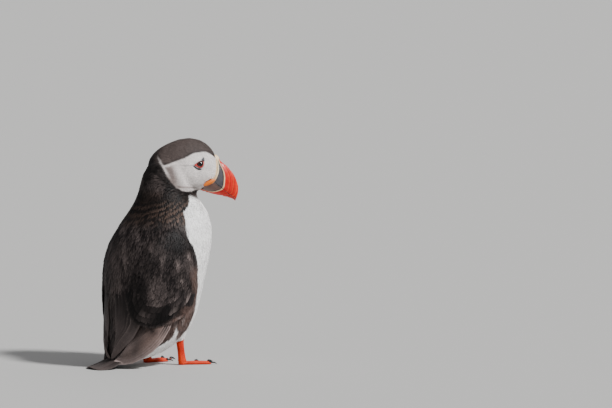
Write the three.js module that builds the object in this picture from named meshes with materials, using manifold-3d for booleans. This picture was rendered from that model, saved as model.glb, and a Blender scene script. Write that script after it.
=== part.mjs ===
// A life-size Atlantic puffin (Fratercula arctica) standing upright, its head turned to its right.
// Millimetres, +Z up. The bird faces -Y, its left side is +X, and z = 0 is the floor under its soles.
import * as THREE from "three";
import { mergeVertices } from "three/addons/utils/BufferGeometryUtils.js";
import Module from "manifold-3d";

const wasm = await Module();
wasm.setup();

// ---------------------------------------------------------------- driving dimensions

const GAP = 0.3; // clearance between pieces that meet
const CENTRE_SHIFT = new THREE.Vector3(0, -5.3, 0); // puts the origin under the middle of the bird

// The plumage outline of trunk and neck, ring by ring from vent to crown: height, how far the
// ring's centre lies behind the leg line, and its half depth (front to back) and half width.
const BODY_RINGS = [
  { height: 4.5, behind: 42, depth: 0, width: 0 },
  { height: 5.4, behind: 39.5, depth: 9, width: 8.5 },
  { height: 7.4, behind: 36, depth: 18.5, width: 16.5 },
  { height: 10.5, behind: 31.5, depth: 25, width: 22 },
  { height: 15, behind: 26, depth: 31, width: 26.5 },
  { height: 22, behind: 20.5, depth: 36, width: 31 },
  { height: 32, behind: 14.5, depth: 41.5, width: 36 },
  { height: 46, behind: 10.5, depth: 45.5, width: 41 },
  { height: 64, behind: 8.5, depth: 48.3, width: 44.2 },
  { height: 84, behind: 6, depth: 51, width: 46.5 },
  { height: 104, behind: 2.5, depth: 52.5, width: 48 },
  { height: 123, behind: -2.5, depth: 50.7, width: 46.7 },
  { height: 139, behind: -7.5, depth: 45, width: 42 },
  { height: 152, behind: -9.5, depth: 37.5, width: 34.5 },
  { height: 162, behind: -8.5, depth: 31.2, width: 28.5 },
  { height: 171, behind: -7, depth: 26.8, width: 25 },
  { height: 181, behind: -7, depth: 24.3, width: 22.5 },
  { height: 192, behind: -9, depth: 21.5, width: 19.8 },
  { height: 201, behind: -14, depth: 14, width: 13 },
  { height: 205.5, behind: -16, depth: 0, width: 0 },
];
const NECK_BASE = 150; // height of the parting between trunk and neck

// The head has a frame of its own: x forward along the bill, y to the bird's left, z up.
const HEAD_CENTRE = new THREE.Vector3(-2, -26, 192);
const HEAD_YAW = 35; // degrees, to the bird's right
const HEAD_PITCH = 25; // degrees, bill down
const HEAD_RINGS = [
  { along: -33, top: -8, bottom: -8, width: 0 },
  { along: -31, top: 1, bottom: -17, width: 10 },
  { along: -26, top: 10, bottom: -21.5, width: 15 },
  { along: -17, top: 20.5, bottom: -24, width: 19.2 },
  { along: -6, top: 28, bottom: -25, width: 21.5 },
  { along: 6, top: 30.6, bottom: -25, width: 22 },
  { along: 15, top: 28.8, bottom: -22.5, width: 19.5 },
  { along: 22, top: 25, bottom: -18, width: 16 },
  { along: 26, top: 21.8, bottom: -14, width: 13.3 },
  { along: 28.6, top: 18.4, bottom: -9.5, width: 11.4 },
  { along: 31.2, top: 14.5, bottom: -5, width: 9.6 },
  { along: 33.9, top: 9.3, bottom: -1, width: 6.8 },
  { along: 35.8, top: 4, bottom: 4, width: 0 },
];
const CHEEK_FULLNESS = 0.2; // how much wider the head is below its middle than above

// The bill in the head's frame: the culmen above, the keel below, and half the width at the gape.
const BILL_RINGS = [
  { along: 20, top: 22, bottom: -13, width: 8.4 },
  { along: 25.5, top: 22.7, bottom: -14.2, width: 8.6 },
  { along: 31, top: 19.3, bottom: -13.6, width: 8.1 },
  { along: 36.5, top: 18, bottom: -12.6, width: 7.2 },
  { along: 44, top: 15.1, bottom: -11, width: 5.8 },
  { along: 51, top: 10.4, bottom: -9.6, width: 4.2 },
  { along: 55.5, top: 5.9, bottom: -8.9, width: 3 },
  { along: 58.3, top: 1.2, bottom: -8.9, width: 2.1 },
  { along: 59.8, top: -3.9, bottom: -9.5, width: 1.3 },
  { along: 60.1, top: -9.4, bottom: -10.2, width: 0.5 },
];
const BILL_RIDGE = 1.15; // above 1 makes the culmen and the keel sharper
const BILL_NARROWS = 0.3; // how much narrower the bill is at its culmen than at its keel
const GAPE_LINE = [
  [18, 1.5],
  [30, -0.4],
  [36, -1.6],
  [43.5, -3.4],
  [50.5, -5.7],
  [57, -7.2],
  [66, -9.3],
];
const CERE_BREADTH = 2.2;
const CERE_HEIGHT = 0.7;
const ROSETTE = {
  along: 29.8,
  up: -3.6,
  length: 12.5,
  breadth: 5.2,
  thickness: 3.4,
  stands_out: 0.3,
  slope: 52, // degrees, its front end up
};

const EYE = { along: 15.7, up: 9.9, radius: 4.6, stands_out: 1.1 };
const EYE_RING = { radius: 3.5, thickness: 0.75, stands_out: 0.2 };
const BROW_HORN = { along: 16.6, up: 15.8, length: 3.2, height: 5.4, thickness: 2.2 };
const CHEEK_HORN = { along: 14, up: 4.8, length: 9.6, height: 2.3, thickness: 2.2 };

// The folded wing lies on the body's rings between two angles, counted from the spine.
const WING_RINGS = [
  { height: 137, back: 66, front: 66, thick: 0 },
  { height: 132, back: 51, front: 79, thick: 3.4 },
  { height: 121, back: 43, front: 94, thick: 4.6 },
  { height: 104, back: 35, front: 107, thick: 5.2 },
  { height: 86, back: 30, front: 115, thick: 5.4 },
  { height: 70, back: 28, front: 117, thick: 5.6 },
  { height: 58, back: 28, front: 109, thick: 5.6 },
  { height: 49.5, back: 33, front: 96, thick: 5 },
  { height: 43.5, back: 43, front: 80, thick: 3.8 },
  { height: 40.5, back: 61, front: 61, thick: 0 },
];
const WING_STANDS_OUT = 0.7; // share of its thickness by which the wing rises above the trunk
const WING_SINKS_IN = 1.2; // the same, by which it lies in the trunk
const WING_EDGE = 0.62; // below 1 makes the wing's rim blunt

// The long primaries of the right wing, from under the wing to their tips.
const PRIMARIES = [
  { side: 38, behind: 21, height: 55, breadth: 12.5, thick: 2.6 },
  { side: 36, behind: 29.5, height: 40, breadth: 13, thick: 2.6 },
  { side: 30, behind: 37.5, height: 28, breadth: 12.5, thick: 2.4 },
  { side: 21.5, behind: 46.5, height: 18, breadth: 10.5, thick: 2 },
  { side: 12.5, behind: 53.5, height: 12.5, breadth: 7.5, thick: 1.6 },
  { side: 7, behind: 58.5, height: 9.5, breadth: 3.6, thick: 1.2 },
];
const PRIMARIES_CURL = 36; // radius to which the blades are rolled, to hug the trunk
const TRUNK_AXIS = 8; // how far the trunk's axis lies behind the leg line, where the blades face away from it

// The closed tail bends back where its tip meets the floor.
const TAIL = [
  { behind: 40, height: 14.5, breadth: 11, thick: 4.4 },
  { behind: 49, height: 9.8, breadth: 13, thick: 3.4 },
  { behind: 58, height: 5.3, breadth: 14.5, thick: 2.4 },
  { behind: 67, height: 2.3, breadth: 15, thick: 1.7 },
  { behind: 76, height: 0.9, breadth: 13.5, thick: 1.3 },
  { behind: 80.5, height: 0.7, breadth: 8.5, thick: 1.1 },
];

const LEGS = {
  right: { side: -18, behind: -14, ankle_behind: -10.5, thigh: 35, turned_out: 8 },
  left: { side: 18, behind: 3, ankle_behind: 2, thigh: 26, turned_out: 6 },
};
const SHANK = { top: 27, bottom: 2.2, half_depth: 4, half_width: 2.9, swelling: 1.3 };
const THIGH = { half_height: 14.5, half_width: 10.5, half_depth: 12.5, top_heavy: 0.25, leans_back: 4 };
const TOES = [
  { name: "inner", angle: -25, length: 21, radius: 2 },
  { name: "middle", angle: -2, length: 29.5, radius: 2.2 },
  { name: "outer", angle: 20, length: 28.5, radius: 2.1 },
];
const TOE_TAPER = 0.3; // share of its radius that a toe loses by its tip
const TOE_KNUCKLES = 0.09; // share by which a toe swells at its joints
const TOE_AXIS = 0.8; // height of a toe's axis over the floor, as a share of its radius
const CLAW = { length: 8, covered: 2.5, radius: 1.6, flatness: 0.8, height: 2.3, drop: 2.1 };
const WEB_THICKNESS = 1.2;
const WEB_SCALLOP = 0.72; // how far out the web's free edge is pulled between two toes
const WEB_STOPS_SHORT = 1.5; // distance from a toe's tip to the web
const HEEL = { half_width: 3.6, half_depth: 4.6, half_height: 3.4, height: 2 };

// ---------------------------------------------------------------- materials

const finish = (color, roughness) => new THREE.MeshStandardMaterial({ color, roughness, metalness: 0 });
const BLACK_PLUMAGE = finish(0x1d1816, 0.75);
const WHITE_PLUMAGE = finish(0xe9e7e4, 0.8);
const FACE_PLUMAGE = finish(0xcfc6c2, 0.8);
const BILL_HORN = finish(0xe8341a, 0.4);
const CERE_SKIN = finish(0xe8d9a8, 0.5);
const GAPE_SKIN = finish(0xf28c12, 0.5);
const EYE_GLASS = finish(0x140d0b, 0.1);
const EYELID_SKIN = finish(0xc8281c, 0.45);
const SLATE_HORN = finish(0x4c5158, 0.5);
const LEG_SKIN = finish(0xf04a18, 0.5);
const CLAW_HORN = finish(0x151312, 0.35);

// ---------------------------------------------------------------- shaping helpers

const radians = THREE.MathUtils.degToRad;

// A smooth curve through the rings: returns every field of the ring at a share from 0 to 1.
function smooth(rings) {
  const fields = Object.keys(rings[0]);
  const places = rings.map((_, i) => i / (rings.length - 1));
  const values = rings.flatMap((ring) => fields.map((field) => ring[field]));
  const curve = new THREE.CubicInterpolant(places, values, fields.length, new Array(fields.length));
  return (share) => {
    const found = curve.evaluate(THREE.MathUtils.clamp(share, 0, 1));
    return Object.fromEntries(fields.map((field, i) => [field, found[i]]));
  };
}

// The ring whose field has the value asked for, on rings where that field only rises or only falls.
function ringAt(ring, field, value) {
  const rises = ring(1)[field] > ring(0)[field];
  let low = 0;
  let high = 1;
  for (let step = 0; step < 30; step += 1) {
    const middle = (low + high) / 2;
    if (ring(middle)[field] < value === rises) low = middle;
    else high = middle;
  }
  return ring((low + high) / 2);
}

// A closed body made from a sphere: place(share, angle) gives the point at a share of the way from
// one pole to the other and an angle round it.
function form(columns, rows, place) {
  const geometry = new THREE.SphereGeometry(1, columns, rows);
  const { position, uv } = geometry.attributes;
  const point = new THREE.Vector3();
  for (let i = 0; i < position.count; i += 1) {
    const share = 1 - uv.getY(i);
    const column = Math.round(uv.getX(i) * columns * 2) / 2;
    place(point, share, (2 * Math.PI * column) / columns);
    position.setXYZ(i, point.x, point.y, point.z);
  }
  return geometry;
}

// Crowds the shares towards both ends of a form, where a blunt end needs them.
const crowded = (share) => (1 - Math.cos(Math.PI * share)) / 2;

// Full size along the middle of a form, falling to nothing at its ends: the higher the power, the blunter.
const rounded = (share, power) => Math.sqrt(Math.max(0, 1 - (2 * share - 1) ** power));

// The way that rings lead at a share, on rings that give side, behind and height.
function heading(ring, share) {
  const step = 0.02;
  const next = ring(share + step);
  const last = ring(share - step);
  return new THREE.Vector3(
    (next.side ?? 0) - (last.side ?? 0),
    next.behind - last.behind,
    next.height - last.height,
  ).normalize();
}

function merged(geometry) {
  const bare = geometry.clone();
  bare.deleteAttribute("normal");
  bare.deleteAttribute("uv");
  return mergeVertices(bare, 1e-3);
}

function solid(geometry) {
  const mesh = merged(geometry);
  const make = (triVerts) =>
    new wasm.Manifold(
      new wasm.Mesh({ numProp: 3, vertProperties: mesh.attributes.position.array, triVerts }),
    );
  const faces = new Uint32Array(mesh.index.array);
  const made = make(faces);
  return made.volume() > 0 ? made : make(faces.slice().reverse());
}

// The same body with its surface moved outwards.
function grown(geometry, distance) {
  const mesh = merged(geometry);
  const outwards = solid(geometry).getMesh();
  mesh.setIndex(new THREE.BufferAttribute(outwards.triVerts, 1));
  mesh.setAttribute("position", new THREE.BufferAttribute(outwards.vertProperties, 3));
  mesh.computeVertexNormals();
  const { position, normal } = mesh.attributes;
  for (let i = 0; i < position.count; i += 1) {
    position.setXYZ(
      i,
      position.getX(i) + distance * normal.getX(i),
      position.getY(i) + distance * normal.getY(i),
      position.getZ(i) + distance * normal.getZ(i),
    );
  }
  mesh.deleteAttribute("normal");
  return mesh;
}

const slot = (geometry) => solid(grown(geometry, GAP));

function block(low, high) {
  const size = new THREE.Vector3().subVectors(high, low);
  const middle = new THREE.Vector3().addVectors(low, high).multiplyScalar(0.5);
  return new THREE.BoxGeometry(size.x, size.y, size.z).translate(middle.x, middle.y, middle.z);
}

const FAR = 400;
const above = (z) => solid(block(new THREE.Vector3(-FAR, -FAR, z), new THREE.Vector3(FAR, FAR, FAR)));
const below = (z) => solid(block(new THREE.Vector3(-FAR, -FAR, -FAR), new THREE.Vector3(FAR, FAR, z)));

const bird = new THREE.Group();

// The largest closed body of a solid, as a named mesh of the bird.
function piece(name, material, cut) {
  const bodies = cut.decompose().sort((a, b) => b.volume() - a.volume());
  const { vertProperties, triVerts } = bodies[0].getMesh();
  const geometry = new THREE.BufferGeometry();
  geometry.setAttribute("position", new THREE.BufferAttribute(vertProperties, 3));
  geometry.setIndex(new THREE.BufferAttribute(triVerts, 1));
  geometry.computeVertexNormals();
  const mesh = new THREE.Mesh(geometry, material);
  mesh.name = name;
  bird.add(mesh);
  return mesh;
}

// ---------------------------------------------------------------- trunk and neck

const bodyRing = smooth(BODY_RINGS);

const bodyForm = form(24, 21, (point, share, angle) => {
  const ring = bodyRing(share);
  point.set(ring.width * Math.sin(angle), ring.behind + ring.depth * Math.cos(angle), ring.height);
});

// A point on the body's plumage: degrees from the spine, height, and how far out of the surface.
function onBody(point, side, degrees, height, out) {
  const ring = ringAt(bodyRing, "height", height);
  const sine = Math.sin(radians(degrees));
  const cosine = Math.cos(radians(degrees));
  const outward = new THREE.Vector2(sine / ring.width, cosine / ring.depth).normalize();
  point.set(
    side * (ring.width * sine + out * outward.x),
    ring.behind + ring.depth * cosine + out * outward.y,
    height,
  );
}

// ---------------------------------------------------------------- wings and tail

const wingRing = smooth(WING_RINGS);

function wingForm(side) {
  return form(14, 12, (point, share, angle) => {
    const ring = wingRing(share);
    const across = Math.cos(angle);
    const degrees = (ring.back + ring.front) / 2 + ((ring.front - ring.back) / 2) * across;
    const rise = Math.sign(Math.sin(angle)) * Math.abs(Math.sin(angle)) ** WING_EDGE;
    const share_of_thickness = rise > 0 ? WING_STANDS_OUT : WING_SINKS_IN;
    onBody(point, side, degrees, ring.height, rise * ring.thick * share_of_thickness);
  });
}

const primaryRing = smooth(PRIMARIES);

// A curled blade along the rings, facing away from the trunk's axis.
function primariesForm(side) {
  return form(10, 10, (point, share, angle) => {
    const even = crowded(share);
    const ring = primaryRing(even);
    const along = heading(primaryRing, even);
    const outward = new THREE.Vector3(ring.side, ring.behind - TRUNK_AXIS, 0);
    outward.addScaledVector(along, -outward.dot(along)).normalize();
    const across = new THREE.Vector3().crossVectors(along, outward);
    const round = rounded(even, 6);
    const wide = round * ring.breadth * Math.cos(angle);
    point.set(ring.side, ring.behind, ring.height);
    point.addScaledVector(across, wide);
    point.addScaledVector(outward, round * ring.thick * Math.sin(angle) - wide ** 2 / (2 * PRIMARIES_CURL));
    point.x *= side;
  });
}

const tailRing = smooth(TAIL);

const tailForm = form(12, 9, (point, share, angle) => {
  const even = crowded(share);
  const ring = tailRing(even);
  const along = heading(tailRing, even);
  const round = rounded(even, 8);
  const rise = round * ring.thick * Math.sin(angle);
  point.set(
    round * ring.breadth * Math.cos(angle),
    ring.behind - rise * along.z,
    ring.height + rise * along.y,
  );
});

// ---------------------------------------------------------------- head, bill and eyes

const forward = new THREE.Vector3(-Math.sin(radians(HEAD_YAW)), -Math.cos(radians(HEAD_YAW)), 0);
const upward = new THREE.Vector3(0, 0, 1);
const headMatrix = new THREE.Matrix4()
  .makeBasis(
    forward
      .clone()
      .multiplyScalar(Math.cos(radians(HEAD_PITCH)))
      .addScaledVector(upward, -Math.sin(radians(HEAD_PITCH))),
    new THREE.Vector3().crossVectors(upward, forward),
    forward
      .clone()
      .multiplyScalar(Math.sin(radians(HEAD_PITCH)))
      .addScaledVector(upward, Math.cos(radians(HEAD_PITCH))),
  )
  .setPosition(HEAD_CENTRE);
const inHead = (geometry) => geometry.applyMatrix4(headMatrix);

const headRing = smooth(HEAD_RINGS);

const headForm = inHead(
  form(20, 15, (point, share, angle) => {
    const ring = headRing(share);
    const rise = Math.cos(angle);
    point.set(
      ring.along,
      ring.width * Math.sin(angle) * (1 - CHEEK_FULLNESS * rise),
      (ring.top + ring.bottom) / 2 + ((ring.top - ring.bottom) / 2) * rise,
    );
  }),
);

// How far the head's side lies from its middle plane at a place seen from the side.
function headSide(along, up) {
  const ring = ringAt(headRing, "along", along);
  const rise = (up - (ring.top + ring.bottom) / 2) / ((ring.top - ring.bottom) / 2);
  return ring.width * Math.sqrt(1 - rise ** 2) * (1 - CHEEK_FULLNESS * rise);
}

const billRing = smooth(BILL_RINGS);

const billForm = inHead(
  form(14, 12, (point, share, angle) => {
    const ring = billRing(share);
    const closed = share < 1e-6 || share > 1 - 1e-6 ? 0 : 1;
    const rise = Math.cos(angle);
    const side = Math.sign(Math.sin(angle)) * Math.abs(Math.sin(angle)) ** BILL_RIDGE;
    point.set(
      ring.along,
      closed * ring.width * side * (1 - BILL_NARROWS * rise),
      (ring.top + ring.bottom) / 2 + ((closed * (ring.top - ring.bottom)) / 2) * rise,
    );
  }),
);

// Everything under the gape line, as a thick slab across the bill.
function underGape(shift) {
  const reach = 30;
  const outline = new THREE.Shape();
  outline.moveTo(GAPE_LINE[0][0], -reach);
  GAPE_LINE.forEach(([along, up]) => outline.lineTo(along, up + shift));
  outline.lineTo(GAPE_LINE.at(-1)[0], -reach);
  const slab = new THREE.ExtrudeGeometry(outline, { depth: 2 * reach, bevelEnabled: false });
  slab.rotateX(Math.PI / 2).translate(0, reach, 0);
  return inHead(slab);
}

// Puts a shape made round the origin on the head's side, its x along the head and its y outwards.
function onHeadSide(geometry, side, { along, up }, out, slope = 0) {
  const step = 0.5;
  const rising = (headSide(along, up + step) - headSide(along, up - step)) / (2 * step);
  const leading = (headSide(along + step, up) - headSide(along - step, up)) / (2 * step);
  const outward = new THREE.Vector3(-leading, 1, -rising).normalize();
  const ahead = new THREE.Vector3(1, leading, 0).normalize();
  const raised = new THREE.Vector3().crossVectors(ahead, outward);
  const turn = new THREE.Matrix4().makeBasis(ahead, outward, raised);
  geometry.rotateY(-radians(slope)).applyMatrix4(turn);
  geometry.translate(
    along + outward.x * out,
    headSide(along, up) + outward.y * out,
    up + outward.z * out,
  );
  geometry.scale(1, side, 1);
  return inHead(geometry);
}

const pebble = (length, thickness, height) =>
  new THREE.SphereGeometry(0.5, 8, 5).scale(length, thickness, height);

const eyeForm = (side) =>
  onHeadSide(new THREE.SphereGeometry(EYE.radius, 12, 7), side, EYE, EYE.stands_out - EYE.radius);
const eyeRingForm = (side) =>
  onHeadSide(
    new THREE.TorusGeometry(EYE_RING.radius, EYE_RING.thickness, 4, 12).rotateX(Math.PI / 2),
    side,
    EYE,
    EYE_RING.stands_out,
  );
const browHornForm = (side) =>
  onHeadSide(
    pebble(BROW_HORN.length, BROW_HORN.thickness, BROW_HORN.height),
    side,
    BROW_HORN,
    0,
  );
const cheekHornForm = (side) =>
  onHeadSide(
    pebble(CHEEK_HORN.length, CHEEK_HORN.thickness, CHEEK_HORN.height),
    side,
    CHEEK_HORN,
    0,
  );
const rosetteForm = (side) =>
  onHeadSide(
    pebble(ROSETTE.length, ROSETTE.thickness, ROSETTE.breadth),
    side,
    ROSETTE,
    ROSETTE.stands_out,
    ROSETTE.slope,
  );

// ---------------------------------------------------------------- legs

function shankForm(leg) {
  return form(8, 7, (point, share, angle) => {
    const along = crowded(share);
    const ends = rounded(share, 12);
    const swell = 1 + (SHANK.swelling - 1) * Math.abs(2 * along - 1) ** 3;
    const lean = (leg.ankle_behind - leg.behind) * along;
    point.set(
      leg.side + ends * swell * SHANK.half_width * Math.sin(angle),
      leg.behind + lean + ends * swell * SHANK.half_depth * Math.cos(angle),
      SHANK.bottom + (SHANK.top - SHANK.bottom) * along,
    );
  });
}

function thighForm(leg) {
  return form(10, 7, (point, share, angle) => {
    const drop = Math.cos(Math.PI * share);
    const round = Math.sin(Math.PI * share) * (1 + THIGH.top_heavy * drop);
    point.set(
      leg.side + round * THIGH.half_width * Math.sin(angle),
      leg.ankle_behind + round * THIGH.half_depth * Math.cos(angle) + THIGH.leans_back * (1 + drop),
      leg.thigh + THIGH.half_height * drop,
    );
  });
}

// The way a toe points, over the floor.
function toeDirection(leg, toe) {
  const outward = Math.sign(leg.side);
  const turned = radians(outward * (toe.angle + leg.turned_out));
  return new THREE.Vector3(Math.sin(turned), -Math.cos(turned), 0);
}

const heelOf = (leg) => new THREE.Vector3(leg.side, leg.behind, 0);
const toeTip = (leg, toe) => heelOf(leg).addScaledVector(toeDirection(leg, toe), toe.length);

// A toe swells at its joints and reaches a little into the floor, where it is cut flat.
function toeForm(leg, toe) {
  const way = toeDirection(leg, toe);
  const across = new THREE.Vector3(-way.y, way.x, 0);
  return form(6, 9, (point, share, angle) => {
    const along = crowded(share);
    const radius = toe.radius * rounded(along, 10) * (1 - TOE_TAPER * along);
    const knuckled = radius * (1 + TOE_KNUCKLES * Math.cos(6 * Math.PI * along));
    point.copy(heelOf(leg)).addScaledVector(way, toe.length * along);
    point.addScaledVector(across, knuckled * Math.cos(angle));
    point.z = toe.radius * (TOE_AXIS - TOE_TAPER * along) + knuckled * Math.sin(angle);
  });
}

function webForm(leg) {
  const outline = new THREE.Shape();
  const heel = heelOf(leg);
  outline.moveTo(heel.x, heel.y);
  TOES.forEach((toe, i) => {
    const tip = toeTip(leg, { ...toe, length: toe.length - WEB_STOPS_SHORT });
    outline.lineTo(tip.x, tip.y);
    const next = TOES[i + 1];
    if (!next) return;
    const end = toeTip(leg, { ...next, length: next.length - WEB_STOPS_SHORT });
    const middle = new THREE.Vector3().addVectors(tip, end).multiplyScalar(0.5).sub(heel);
    const pull = middle.multiplyScalar(WEB_SCALLOP).add(heel);
    outline.quadraticCurveTo(pull.x, pull.y, end.x, end.y);
  });
  return new THREE.ExtrudeGeometry(outline, { depth: WEB_THICKNESS, bevelEnabled: false, curveSegments: 4 });
}

const heelPad = (leg) =>
  new THREE.SphereGeometry(1, 8, 5)
    .scale(HEEL.half_width, HEEL.half_depth, HEEL.half_height)
    .translate(leg.side, leg.behind, HEEL.height);

function clawForm(leg, toe) {
  const way = toeDirection(leg, toe);
  const across = new THREE.Vector3(-way.y, way.x, 0);
  const root = toeTip(leg, { ...toe, length: toe.length - CLAW.covered });
  return form(6, 5, (point, share, angle) => {
    const closed = share > 0 ? 1 : 0;
    const round = closed * CLAW.radius * (1 - share) ** 0.7;
    point.copy(root).addScaledVector(way, CLAW.length * share);
    point.addScaledVector(across, round * CLAW.flatness * Math.cos(angle));
    point.z = CLAW.height - CLAW.drop * share ** 2 + round * Math.sin(angle);
  });
}

// ---------------------------------------------------------------- assembly

const SIDES = { right: -1, left: 1 };
const headSlot = slot(headForm);
const cereReach = solid(grown(headForm, GAP + CERE_BREADTH));
const cereEdge = solid(grown(headForm, 2 * GAP + CERE_BREADTH));
const onFloor = above(0);

let head = solid(headForm);
let trunk = solid(bodyForm).intersect(below(NECK_BASE - GAP / 2));
const neck = solid(bodyForm)
  .intersect(above(NECK_BASE + GAP / 2))
  .subtract(headSlot);

let lowerBill = solid(billForm).intersect(solid(underGape(-GAP / 2))).subtract(headSlot);
let upperBill = solid(billForm).subtract(solid(underGape(GAP / 2))).subtract(cereEdge);
let cere = solid(grown(billForm, CERE_HEIGHT))
  .subtract(solid(underGape(GAP / 2)))
  .intersect(cereReach)
  .subtract(headSlot);
let tail = solid(tailForm).intersect(onFloor);

for (const [name, side] of Object.entries(SIDES)) {
  const leg = LEGS[name];

  const wing = wingForm(side);
  const primaries = primariesForm(side);
  const thigh = thighForm(leg);
  const shank = shankForm(leg);
  for (const set of [wing, primaries, thigh, shank]) trunk = trunk.subtract(slot(set));
  tail = tail.subtract(slot(primaries));
  piece(`wing_${name}`, BLACK_PLUMAGE, solid(wing));
  piece(`primaries_${name}`, BLACK_PLUMAGE, solid(primaries).subtract(slot(wing)).intersect(onFloor));

  piece(`thigh_${name}`, WHITE_PLUMAGE, solid(thigh).subtract(slot(wing)).subtract(slot(shank)));
  const toes = TOES.map((toe) => solid(toeForm(leg, toe)));
  const foot = toes
    .reduce((joined, toe) => joined.add(toe), solid(webForm(leg)).add(solid(heelPad(leg))))
    .subtract(slot(shank))
    .intersect(onFloor);
  piece(`shank_${name}`, LEG_SKIN, solid(shank));
  TOES.forEach((toe) => {
    const toeSlot = slot(toeForm(leg, toe)).add(slot(webForm(leg)));
    const claw = solid(clawForm(leg, toe)).subtract(toeSlot).intersect(onFloor);
    piece(`claw_${name}_${toe.name}`, CLAW_HORN, claw);
  });
  piece(`foot_${name}`, LEG_SKIN, foot);

  const eye = eyeForm(side);
  const eyeRing = eyeRingForm(side);
  const browHorn = browHornForm(side);
  const cheekHorn = cheekHornForm(side);
  const rosette = rosetteForm(side);
  const eyeRingCut = solid(eyeRing).subtract(slot(eye));
  piece(`eye_${name}`, EYE_GLASS, solid(eye));
  piece(`eye_ring_${name}`, EYELID_SKIN, eyeRingCut);
  piece(`brow_horn_${name}`, SLATE_HORN, solid(browHorn).subtract(slot(eyeRing)));
  piece(`cheek_horn_${name}`, SLATE_HORN, solid(cheekHorn).subtract(slot(eyeRing)));
  piece(`rosette_${name}`, GAPE_SKIN, solid(rosette));
  for (const set of [eye, eyeRing, browHorn, cheekHorn, rosette]) head = head.subtract(slot(set));
  lowerBill = lowerBill.subtract(slot(rosette));
  upperBill = upperBill.subtract(slot(rosette));
  cere = cere.subtract(slot(rosette));
}

piece("head", FACE_PLUMAGE, head);
piece("neck", BLACK_PLUMAGE, neck);
piece("trunk", WHITE_PLUMAGE, trunk.subtract(slot(tailForm)));
piece("tail", BLACK_PLUMAGE, tail);
piece("cere", CERE_SKIN, cere);
piece("bill_upper", BILL_HORN, upperBill);
piece("bill_lower", BILL_HORN, lowerBill);

bird.position.copy(CENTRE_SHIFT);

export default bird;
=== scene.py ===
"""Skin, feathers, bill, eyes and legs of a standing Atlantic puffin, laid over its solid model."""

import bpy
import numpy as np
from bpy.props import FloatProperty, FloatVectorProperty, IntProperty, PointerProperty
from mathutils import Matrix, Vector
from mathutils.bvhtree import BVHTree


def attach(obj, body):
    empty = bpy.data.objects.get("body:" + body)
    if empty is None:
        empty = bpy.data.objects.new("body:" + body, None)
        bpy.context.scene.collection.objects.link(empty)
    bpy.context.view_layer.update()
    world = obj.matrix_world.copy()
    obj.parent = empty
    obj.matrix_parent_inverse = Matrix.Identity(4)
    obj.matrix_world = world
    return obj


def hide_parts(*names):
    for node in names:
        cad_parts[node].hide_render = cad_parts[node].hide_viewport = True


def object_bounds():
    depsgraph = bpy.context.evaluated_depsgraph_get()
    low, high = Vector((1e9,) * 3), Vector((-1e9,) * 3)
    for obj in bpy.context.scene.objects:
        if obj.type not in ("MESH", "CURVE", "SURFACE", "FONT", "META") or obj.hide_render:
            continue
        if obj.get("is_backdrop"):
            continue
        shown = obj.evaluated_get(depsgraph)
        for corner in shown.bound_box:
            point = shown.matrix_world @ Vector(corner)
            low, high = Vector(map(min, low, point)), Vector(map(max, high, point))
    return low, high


bl_info = {
    "name": "Atlantic puffin",
    "version": (1, 0, 0),
    "blender": (4, 5, 0),
    "location": "View3D > Sidebar > Puffin",
    "description": "Builds the skin, feathers, bill, eyes and legs of a standing Atlantic puffin",
    "category": "Object",
}

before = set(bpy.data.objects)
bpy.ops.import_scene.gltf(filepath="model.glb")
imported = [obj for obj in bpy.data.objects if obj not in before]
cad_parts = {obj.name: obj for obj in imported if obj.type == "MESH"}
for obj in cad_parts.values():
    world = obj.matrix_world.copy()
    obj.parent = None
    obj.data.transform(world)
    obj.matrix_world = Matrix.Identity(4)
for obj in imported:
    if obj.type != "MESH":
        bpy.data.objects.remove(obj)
CAD_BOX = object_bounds()

# ------------------------------------------------------------------ the bird's own measures
#
# All shaping is done in millimetres in the bird's own space: x to its left, y backwards from the
# line through its legs, z up from the floor. The frame's origin lies LEG_LINE behind that line.

MM = 0.001
LEG_LINE = -5.3

# The trunk and neck ring by ring: height, how far the centre lies behind, half depth, half width.
BODY_RINGS = np.array([
    (7.4, 36, 18.5, 16.5),
    (15, 26, 31, 26.5),
    (22, 20.5, 36, 31),
    (32, 14.5, 41.5, 36),
    (46, 10.5, 45.5, 41),
    (64, 8.5, 48.3, 44.2),
    (84, 6, 51, 46.5),
    (104, 2.5, 52.5, 48),
    (123, -2.5, 50.7, 46.7),
    (139, -7.5, 45, 42),
    (152, -9.5, 37.5, 34.5),
    (171, -7, 26.8, 25),
    (192, -9, 21.5, 19.8),
])

HEAD_CENTRE = np.array([-2.0, -26.0, 192.0])
HEAD_YAW = np.radians(35)
HEAD_PITCH = np.radians(25)
_LEVEL = np.array([-np.sin(HEAD_YAW), -np.cos(HEAD_YAW), 0.0])
_UP = np.array([0.0, 0.0, 1.0])
HEAD_FORWARD = _LEVEL * np.cos(HEAD_PITCH) - _UP * np.sin(HEAD_PITCH)
HEAD_LEFT = np.cross(_UP, _LEVEL)
HEAD_UP = _LEVEL * np.sin(HEAD_PITCH) + _UP * np.cos(HEAD_PITCH)
HEAD_AXES = np.array([HEAD_FORWARD, HEAD_LEFT, HEAD_UP])

# The pale cheek in the head's own plane: millimetres forward and up from the head's centre.
CHEEK_OUTLINE = np.array([
    (-27.2, -0.5), (-23.9, -3.4), (-18.8, -7.5), (-11.5, -12.7), (-3.8, -16.9), (3.0, -19.8),
    (9, -20.2), (15.5, -18), (21, -16), (26, -14), (36, -12), (42, 0), (36, 16), (29.5, 19.5),
    (24.5, 21), (20.4, 22.2), (13.9, 21.8), (7.2, 18.8), (3.1, 15.5), (1.1, 13.0), (-1.8, 8.3),
    (-8.6, 2.4), (-14.6, -3.1), (-17.8, -5.3), (-20.8, -4.6),
])

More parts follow.
